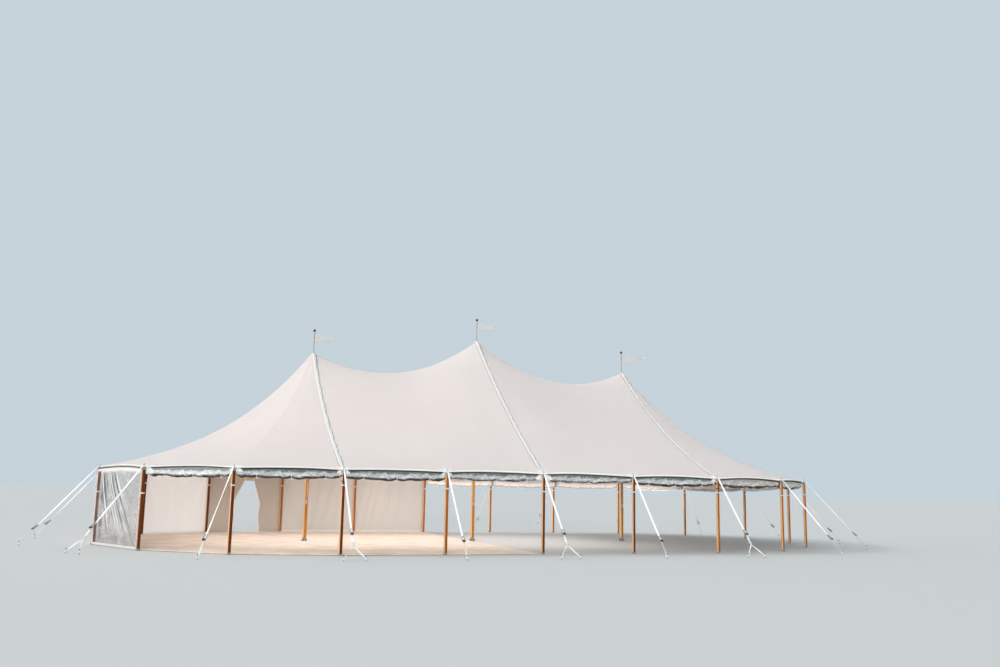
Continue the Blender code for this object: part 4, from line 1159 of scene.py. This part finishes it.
def doorCurtain(name, fromPole, toPole, edgeLow, side, seed):
    # one half of the tied-back doorway: its free edge runs from the peak to the tie and hangs below it
    tieZ, topZ = door["tieZ"], wall["topZ"]
    u, down = np.meshgrid(linspace(0, 1, door["columns"]), linspace(0, 1, door["rows"] + 1))
    z = topZ - (topZ - wall["foot"]) * down
    edgeHigh = door["peakAt"] + side * door["peakWidth"] / 2
    edge = edgeLow + (edgeHigh - edgeLow) * clip((z - tieZ) / (topZ - tieZ), 0, 1)
    flare = 0.05 * sin(pi * clip(1.2 * (tieZ - z) / tieZ, 0, 1))
    poleSide = 0.0 if side < 0 else chordLength
    edge = edge - side * flare * (z < tieZ)
    pull = exp(-((z - tieZ) / 0.42) ** 2)
    metres = poleSide + (edge - poleSide) * u ** (1 + 0.35 * pull)
    # folds crowd together at the free edge and run up to the doorway's peak
    fold = 0.5 + 0.5 * sin(fullTurn * (6.5 * u ** 1.6) + 1.2 * down + seed)
    push = (0.002 + 0.030 * u ** 6 * pull) * fold + 0.005 * creases(u, down, 1.0, seed)
    # one broad fold swings from the top by the pole down to the tie
    swing = exp(-((u - 0.55 - 0.35 * down) / 0.16) ** 2)
    push = push + 0.045 * swing * sin(pi * clip(down * 1.5, 0, 1))
    place = insideBay(16 - metres / chordLength, fromPole, toPole)
    points = wallPoints(place, down, push)
    hemmed = (u[:-1, :-1] > 1 - door["hem"]).astype(int)
    piece = makePiece(name, [shell(points, hemmed)], [shadedCurtainCloth, trimCloth],
                      thickness=wall["thickness"])
    area = min(sheetArea(points) * 1.12, 4.0)


doorCurtain("doorway_curtain_left", 16, 15, door["left"], -1, 0.4)
doorCurtain("doorway_curtain_right", 15, 16, door["right"], 1, 1.9)


def doorHead():
    # a flat band behind the curtains' tops, with a shallow swell along its lower edge
    tall = wall["topZ"] - door["headZ"]
    share, down = np.meshgrid(linspace(-0.5, 0.5, 24), linspace(0, 1, 9))
    place = 16 - (door["peakAt"] + door["headWidth"] * share) / chordLength
    push = door["headOut"] + 0.006 * down * cos(9 * share)
    points = wallPoints(place, down * tall / (wall["topZ"] - wall["foot"]), push)
    piece = makePiece("doorway_head", [shell(points)], [headCloth], thickness=wall["thickness"])


doorHead()


def wallTrim():
    # top and bottom hems, and ties to the eave
    shells = []
    for start, end in ((20, 19), (19, 18), (18, 17), (17, 16), (15, 14), (14, 13)):
        for edges in ((0.0, 0.022), (0.972, 0.998)):
            place, down = wallGrid(start, end, edges)
            back, front = (wallPoints(place, down, 0 * place + push) for push in (-0.0022, -0.0034))
            shells.append(tube(concatenate([back, front[::-1]]).transpose(1, 0, 2)))
        for share in np.arange(0.08, 0.95, 0.105):
            place = start + (end - start) * share
            foot = wallPoints(place, 0.015, 0.004)
            edge, out, arch = eaveAt(place)
            head = np.array([*(edge - out * 0.006), eaveZ + cloth["rise"] * arch - 0.006])
            middle = (foot + head) / 2 + [*(out * 0.010), -0.010]
            path = stack([foot, (foot + middle) / 2 + 0.004 * upward, middle, (middle + head) / 2, head])
            shells.append(rope(0.0035, path, (0.3, 0.4, 0.2), 1))
    makePiece("wall_hems_and_ties", shells, [trimCloth, webbing])


wallTrim()


def clearWall():
    # film in the middle of the bay, cloth margins round it, creases that fan from the top corner
    place, down = wallGrid(20, 19, linspace(0, 1, 61))
    share, fall = 20 - place, down * 2.33
    bearing = np.arctan2(film["fanAt"] - share * chordLength, fall + film["fanOver"])
    fan = sin(68 * bearing + 1.5 * sin(9 * bearing)) * exp(-((bearing - 0.60) / 0.22) ** 2)
    push = 0.012 * (0.5 + 0.5 * fan) * exp(-((fall - 0.9) / 0.8) ** 2)
    push = push + creases(place, down, 0.006, 3.1) * (1 - share)
    points = wallPoints(place, down, push)
    share, down = share[:-1, :-1], down[:-1, :-1]
    margin = (share < 0.010) | (share > 0.975) | (down < 0.040) | (down > 0.965)
    # the thinnest strip at the top takes the dark band: painted shadow under the eave
    kinds = margin.astype(int) + (down < 0.010)
    piece = makePiece("clear_wall_curtain", [shell(points, kinds)], [clearFilm, filmTrim, eaveShadowBand],
                      ["clear_wall"], thickness=0.0009)


clearWall()
print("walls hung")


# Rolled walls, inside the side poles: one sheet a bay, rolled up from its foot. Some ends bulge

roll = {"headerOut": 0.054, "radius": 0.095, "slimRadius": 0.068, "clothRadius": 0.15, "farDrop": 0.032,
        "clothFrom": 8, "inner": 0.036, "turns": 3.6, "slimTurns": 4.7, "stepsPerTurn": 20, "columns": 84,
        "drop": 0.012, "sag": 0.045, "tieShares": (0.20, 0.52, 0.84), "height": 2.30, "band": 0.074,
        "narrowBand": 0.050, "endShare": 0.70, "fullEnds": {20: 0.060, 21: 0.055, 0: 0.945},
        "thickness": 0.0010}


def rollFrame(place):
    # plan point on the eave, inward direction, the roll's radius and the height of its axis
    edge, out, arch = eaveAt(place)
    bulk = clip(place - roll["clothFrom"] + 1, 0, 1) * (place < 14)
    radius = roll["radius"] + (roll["clothRadius"] - roll["radius"]) * bulk
    radius = np.where((place > 1) & (place < 3), roll["slimRadius"], radius)
    axisZ = shoulderZ - roll["drop"] - radius - roll["sag"] * arch - roll["farDrop"] * bulk
    return edge, -out, radius, axisZ


def insideEave(edge, inward, away, height):
    return concatenate([edge[:, None] + inward[:, None] * away[..., None], height[..., None]], -1)


def rolledWall(number, finish, header, loose):
    # the section is a spiral, r from outer to inner as the angle grows, hung from a flat header
    share = linspace(0.012, 0.988, roll["columns"])
    edge, inward, outer, axisZ = rollFrame(number + share)
    share, outer, axisZ = share[:, None], outer[:, None], axisZ[:, None]
    tied = 1
    for tie in roll["tieShares"]:
        tied = tied * (1 - 0.9 * exp(-((share - tie) / 0.030) ** 2))
    slackWave = 0.55 + 0.30 * sin(fullTurn * (2.6 * share + 0.37 * number))
    slackWave = slackWave + 0.15 * sin(fullTurn * (7.3 * share + number))
    endPinch = 1 - exp(-(np.minimum(share, 1 - share) / 0.045) ** 1.5)
    full = 0.42 * exp(-((share - roll["fullEnds"].get(number, 9)) / 0.032) ** 2)
    outer = outer * (roll["endShare"] + (1 - roll["endShare"]) * endPinch) * (1 + full)
    turns = roll["slimTurns" if number in (1, 2) else "turns"]
    angle = linspace(0, turns * fullTurn, int(turns * roll["stepsPerTurn"]))
    radius = outer + (roll["inner"] - outer) * (angle / angle.max()) ** 0.9
    # the first turn hangs loose: it bellies down and wrinkles along its length
    first = exp(-(angle / (1.2 * pi)) ** 4)
    belly = np.maximum(0, sin(angle)) * first * loose * tied * slackWave * endPinch
    wrinkle = (0.0055 + 0.03 * full) * sin(5 * angle + 7 * sin(fullTurn * 3.1 * share + number))
    wrinkle = wrinkle + 0.0035 * sin(11 * angle + 23 * share + 3 * sin(9 * share + number))
    radius = radius + 0.040 * belly + wrinkle * (0.4 + 0.6 * tied) * (0.3 + 0.7 * first)
    radius = radius - 0.010 * (1 - tied) * first
    # angle 0 is the outer side, and the roll goes down and round from there
    away = roll["headerOut"] + outer - radius * cos(angle)
    height = axisZ - radius * sin(angle)
    over = edge + inward * 0.05
    topZ = (roofHeight(over[:, 0], over[:, 1]) - 0.008)[:, None]
    # a dark band at the top of the header, painted shadow of the eave's lip made as webbing, then bare film
    # down to the roll
    fall = topZ - height[:, :1]
    band = linspace(0, 1, 3) * roll["narrowBand" if number == 20 else "band"] / fall
    headShare = concatenate([band, band[:, -1:] + (1 - band[:, -1:]) * linspace(0, 1, 7)[1:-1]], 1)
    headAway = roll["headerOut"] + 0.004 * sin(pi * headShare) * sin(19 * share + number)
    away, height = concatenate([headAway, away], 1), concatenate([topZ - fall * headShare, height], 1)
    kinds = np.zeros((len(away) - 1, away.shape[1] - 1), int)
    # finish 1, the dark band at the top, is painted shadow
    kinds[:, :2], kinds[:, 2:9] = 1, 2
    node = {20: ["rolled_walls_front"], 4: ["rolled_walls_right"]}.get(number, [])
    piece = makePiece(f"rolled_wall_{number + 1:02d}", [shell(insideEave(edge, inward, away, height), kinds)],
                      [finish, eaveShadowBand, header], node, thickness=roll["thickness"], sharp=70)
    rollTies(number)


def rollSpot(place):
    # as rollFrame at one place: a point over the eave at the axis's height, the directions in
    # from the eave and along it, and the roll's radius
    edge, inward, outer, axisZ = rollFrame(place)
    along = np.array([-inward[1], inward[0], 0.0])
    return np.array([*edge, axisZ]), np.array([*inward, 0.0]), along, float(outer)


def rollTies(number):
    # a band round the roll, a knot under it and two tails
    shells = []
    for i, share in enumerate(roll["tieShares"]):
        edge, inward, along, outer = rollSpot(number + share)
        centre = edge + inward * (roll["headerOut"] + outer)
        radius = outer + 0.006
        band = wound(centre, linspace(0, fullTurn, 40), radius * inward, radius * upward)
        section = strapSection(0.0018, 0.016, 0.008)
        shells.append(shell(carry(section, band, unit(band - centre), np.tile(along, (40, 1))), wrap=True))
        foot = centre - upward * radius - inward * 0.030
        knot = linspace(0, fullTurn, 24)[:, None]
        loop = foot + 0.014 * cos(knot) * along + 0.009 * sin(2 * knot) * inward - 0.006 * upward
        shells.append(rope(0.006, loop, (0.1, 0.2, 1)))
        drop = linspace(0, 1, 8)[:, None]
        spread = along * (0.006 + 0.022 * drop * (1 + 0.3 * sin(number + i)))
        for side, tail in ((-1, 0.026), (1, 0.018)):
            path = foot - upward * (0.012 + drop * tail) + side * spread
            shells.append(pathShell(strapSection(0.018, 0.0014), path, inward))
    return makePiece(f"roll_ties_{number + 1:02d}", shells, [webbing])


rolledWall(20, *whiteFilm, 1.0)
for number in (21, 0, 1, 2, 3):
    rolledWall(number, *greyFilm, 1.0)
for number in range(4, 7):
    rolledWall(number, *paleFilm, 1.1)
for number in range(7, 13):
    rolledWall(number, rollCloth, wallCloth, 0.9)


def rollEnds():
    # beside each pole a white cord lashes the roll's end, and a dark hook ties it to the pole
    shells = []
    wind, share = linspace(0, fullTurn * 3, 100), linspace(0, 1, 9)[:, None]
    for number, side in ((number, side) for number in (20, 21, *range(13)) for side in (0, 1)):
        edge, inward, along, outer = rollSpot(number + (0.970 if side else 0.030))
        outer = outer * (roll["endShare"] + (1 - roll["endShare"]) * 0.40) + 0.004
        centre = edge + inward * (roll["headerOut"] + outer)
        coil = wound(centre, wind, outer * inward, outer * upward)
        shells.append(rope(0.0055, coil + along * (0.012 * (wind / fullTurn - 1.5))[:, None], along))
        pole = np.array([*polePlan[(number + side) % poleCount], shoulderZ - 0.045])
        start = centre + 0.7 * outer * (upward - inward)
        end = pole + unit(start - pole) * (capRadius + 0.004)
        path = start + (end - start) * share + 0.022 * sin(pi * share) * upward
        shells.append(rope(0.0075, path, (0.2, 0.3, 1), 1, 8))
    makePiece("roll_end_lashings", shells, [webbing, darkSteel])


rollEnds()


# Each bundle: the bay, the end of it, and the bundle's length and height
bundles = ((20, 0, 0.26, 0.20), (20, 1, 0.16, 0.10), (21, 0, 0.20, 0.12), (21, 1, 0.15, 0.10),
           (0, 0, 0.17, 0.12), (0, 1, 0.14, 0.10), (1, 0, 0.14, 0.10), (1, 1, 0.20, 0.17),
           (2, 0, 0.30, 0.18), (3, 1, 0.16, 0.11), (4, 0, 0.18, 0.12))


def bundledEnds():
    # ellipses carried along the eave from a pole: the lower edge is level and the upper one falls
    # away from the pole; sines of both parameters crumple the surface
    shells = []
    share, turn = linspace(0, 1, 30)[:, None], around(36)
    for number, side, long, tall in bundles:
        span = np.linalg.norm(polePlan[(number + 1) % poleCount] - polePlan[number])
        reach = (0.035 + long * share[:, 0]) / span
        edge, inward, _, _ = rollFrame(number + 1 - reach if side else number + reach)
        half = 0.5 * tall * (1 - share ** 2.2) ** 0.7 * (1 - 0.55 * exp(-share / 0.08)) + 0.003
        middle = shoulderZ + 0.015 - tall + 0.10 * tall * share + half
        rough = 1 + 0.15 * sin(3 * turn + 9 * share + number) + 0.11 * sin(7 * turn - 17 * share + 2 * side)
        away = 0.046 + 0.036 * cos(turn) * rough * np.sqrt(2 * half / tall)
        shells.append(tube(insideEave(edge, inward, away, middle + half * sin(turn) * rough)))
    makePiece("bundled_roll_ends", shells, [bundleCloth], sharp=70)


bundledEnds()
print("walls rolled")


# Boarded floor, under the left end and the two left bays

boards = {"width": 0.145, "gap": 0.005, "length": 3.05, "top": 0.030, "deck": 0.022, "chamfer": 0.003,
          "shortest": 0.12, "hole": 0.125, "joistEvery": 0.42}


def floorFinish():
    # planks: long grain, a tone for each and broad stains of dirt; u numbers the planks
    made = Finish("floor_boards", (0.70, 0.56, 0.43), 0.7)
    long = made.at("Object", (0.8, 14, 14))
    pores = made.noise(long, 2.0, 5, 0.6, 0.6)
    grain = made.ramp(pores, (0.32, (0.72, 0.57, 0.45)), (0.62, (0.93, 0.80, 0.69)))
    tones = made.ramp(made.toss(made.uv("X")), (0.0, 0.84), (1.0, 1.0))
    dirt = made.ramp(made.noise(made.at("Object"), 1.1, 5), (0.32, 0.72), (0.60, 1.0))
    made.give({"Base Color": made.times(0.7, made.times(1.0, grain, tones), dirt)})
    made.bump((made.noise(long, 3.0, 4), 0.3, 0.002))
    return made.material


def floorEdge(y):
    # where the outline's edge crosses the line at y: the left x of the floor there
    inner = polePlan - poleOut * (poleRadius + 0.0006)
    loop = concatenate([inner[15:22], inner[:1]])
    loop = loop[np.argsort(loop[:, 1])]
    return np.interp(y, loop[:, 1], loop[:, 0])


def roundPole(start, end):
    # a board that meets the left centre pole's hole is cut in two, clear of its foot
    first, last = peakX[0] - boards["hole"], peakX[0] + boards["hole"]
    spans = []
    if start.min() < first:
        spans.append((start, np.minimum(end, first)))
    if end.max() > last:
        spans.append((np.maximum(start, last), end))
    return [(a, b) for a, b in spans if (b - a).min() > 0.05]


def boardShell(start, end, near, far, tone):
    # an outline of four corners with a small chamfer, from the deck's underside to its top
    corners = np.array([[start[0], near], [end[0], near], [end[1], far], [start[1], far]])
    inset = unit(corners.mean(0) - corners) * boards["chamfer"]
    top = boards["top"]
    levels = (0, top - boards["deck"]), (0, top - 0.002), (1, top)
    uv = np.zeros((3, 5, 2))
    uv[..., 0] = tone + 0.5
    points = stack([concatenate([corners + inset * share, np.full((4, 1), z)], 1) for share, z in levels])
    return shell(points, wrap=True, caps=True, uv=uv)


def boardedFloor():
    low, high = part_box("boarded_floor")
    shells = []
    for row, near in enumerate(np.arange(low.y + 0.002, high.y - 0.03, boards["width"] + boards["gap"])):
        far = min(near + boards["width"], high.y - 0.002)
        left = floorEdge(np.array([near, far]))
        offset = boards["length"] * ((0.37 * row) % 1 - 1)
        for cut in np.arange(left.min() + offset, high.x, boards["length"]):
            start = np.maximum(cut + boards["gap"], left + 0.002)
            end = np.minimum(cut + boards["length"], [high.x, high.x])
            if (end - start).max() < boards["shortest"]:
                continue
            start = np.minimum(start, end - 0.01)
            spans = roundPole(start, end) if far > -0.13 and near < 0.13 else [(start, end)]
            for a, b in spans:
                shells.append(boardShell(a, b, near, far, len(shells)))
    for y in np.arange(-6.3, 6.4, boards["joistEvery"]):
        shells.append(plate((6.0, 0.05, 0.018), (-3.2, y, 0.0095), np.eye(3), 1))
    makePiece("boarded_floor_planks", shells, [floorFinish(), joistWood], ["boarded_floor"])


boardedFloor()
print("floor laid")


# Stage, lights and camera

# Each sun: strength, angle across in degrees, the direction it shines from, its colour, and
# whether it shows in glossy surfaces. Each lamp under the roof: size, place, direction and glow.
studio = {
    "sky": (0.562, 0.648, 0.704),
    "floorRadius": 400,
    "suns": {
        "key": (0.86, 8, (-0.80, 0.20, 0.58), (1.0, 0.96, 0.93), True),
        "back_left": (1.30, 70, (-0.80, 0.58, 0.08), (1.0, 0.985, 0.97), False),
        "high_left": (1.14, 60, (-0.45, 0.0, 0.90), (1.0, 0.98, 0.96), False),
        "low_front": (1.92, 30, (-0.22, -0.97, 0.08), (1.0, 0.99, 0.98), False),
    },
    "lamps": {
        "under_roof": ((14.5, 8.5), (-2.25, 0.0, 2.6), (0, 0.0001, 1), 1.3),
        "far_side": ((15.0, 0.6), (3.6, 4.3, 1.0), (0, -0.62, -0.78), 3.9),
    },
}


def newObject(name, data, axes=None, place=(0, 0, 0)):
    # axes are the object's x, y and z directions
    thing = bpy.data.objects.new(name, data)
    if axes is not None:
        thing.matrix_world = Matrix(stack(axes, 1).tolist()).to_4x4()
    thing.location = place
    bpy.context.scene.collection.objects.link(thing)
    return thing


def addLight(name, kind, energy, direction, place=(0, 0, 0)):
    # the light shines from direction towards the origin
    lamp = bpy.data.lights.new(name, kind)
    lamp.energy = energy
    z = unit(np.array(direction, float))
    x = unit(np.cross([0, 1, 0] if abs(z[2]) > 0.99 else upward, z))
    return newObject(name, lamp, [x, np.cross(z, x), z], place)


def stageAndLights():
    floor = bpy.data.meshes.new("studio_floor")
    rim = ring(studio["floorRadius"], around(96), -0.001)
    floor.from_pydata(rim.tolist(), [], [list(range(96))])
    floor.materials.append(Finish("studio_floor", (0.50, 0.50, 0.49), 0.9).material)
    newObject("studio_floor", floor)
    world = bpy.data.worlds.new("studio")
    world.use_nodes = True
    sky = world.node_tree.nodes["Background"].inputs
    sky["Color"].default_value = (*studio["sky"], 1)
    sky["Strength"].default_value = 1.0
    bpy.context.scene.world = world
    for name, (strength, angle, direction, colour, glossy) in studio["suns"].items():
        light = addLight(name, "SUN", strength, direction)
        light.data.angle = np.radians(angle)
        light.data.color = colour
        light.visible_glossy = glossy
    # soft lamps under the roof, for the light that the bright cloth overhead gives
    for name, ((wide, deep), place, direction, glow) in studio["lamps"].items():
        light = addLight(name, "AREA", glow * pi * wide * deep, direction, place)
        light.data.shape, light.data.size, light.data.size_y = "RECTANGLE", wide, deep
        light.visible_camera = False
        light.visible_glossy = False


view = {"focalPixels": 950.301, "frameWidth": 1000, "sensor": 36, "place": (-11.1248, -33.7912, 1.9235),
        "pitch": 0.16172, "roll": 0.01806, "yaw": 0.34286}


def photoCamera():
    # forward from yaw and pitch, then right and up turned by the roll
    yaw, pitch, tilt = view["yaw"], view["pitch"], view["roll"]
    forward = np.array([sin(yaw) * cos(pitch), cos(yaw) * cos(pitch), sin(pitch)])
    level = np.array([cos(yaw), -sin(yaw), 0])
    above = np.cross(level, forward)
    right, up = level * cos(tilt) + above * sin(tilt), above * cos(tilt) - level * sin(tilt)
    lens = bpy.data.cameras.new("photo_camera")
    lens.sensor_width = view["sensor"]
    lens.lens = view["focalPixels"] / view["frameWidth"] * view["sensor"]
    lens.clip_end = 1000
    bpy.context.scene.camera = newObject("photo_camera", lens, [right, up, -forward], view["place"])


stageAndLights()
photoCamera()
bpy.context.scene.view_settings.view_transform = "Standard"
print("camera and lights set")
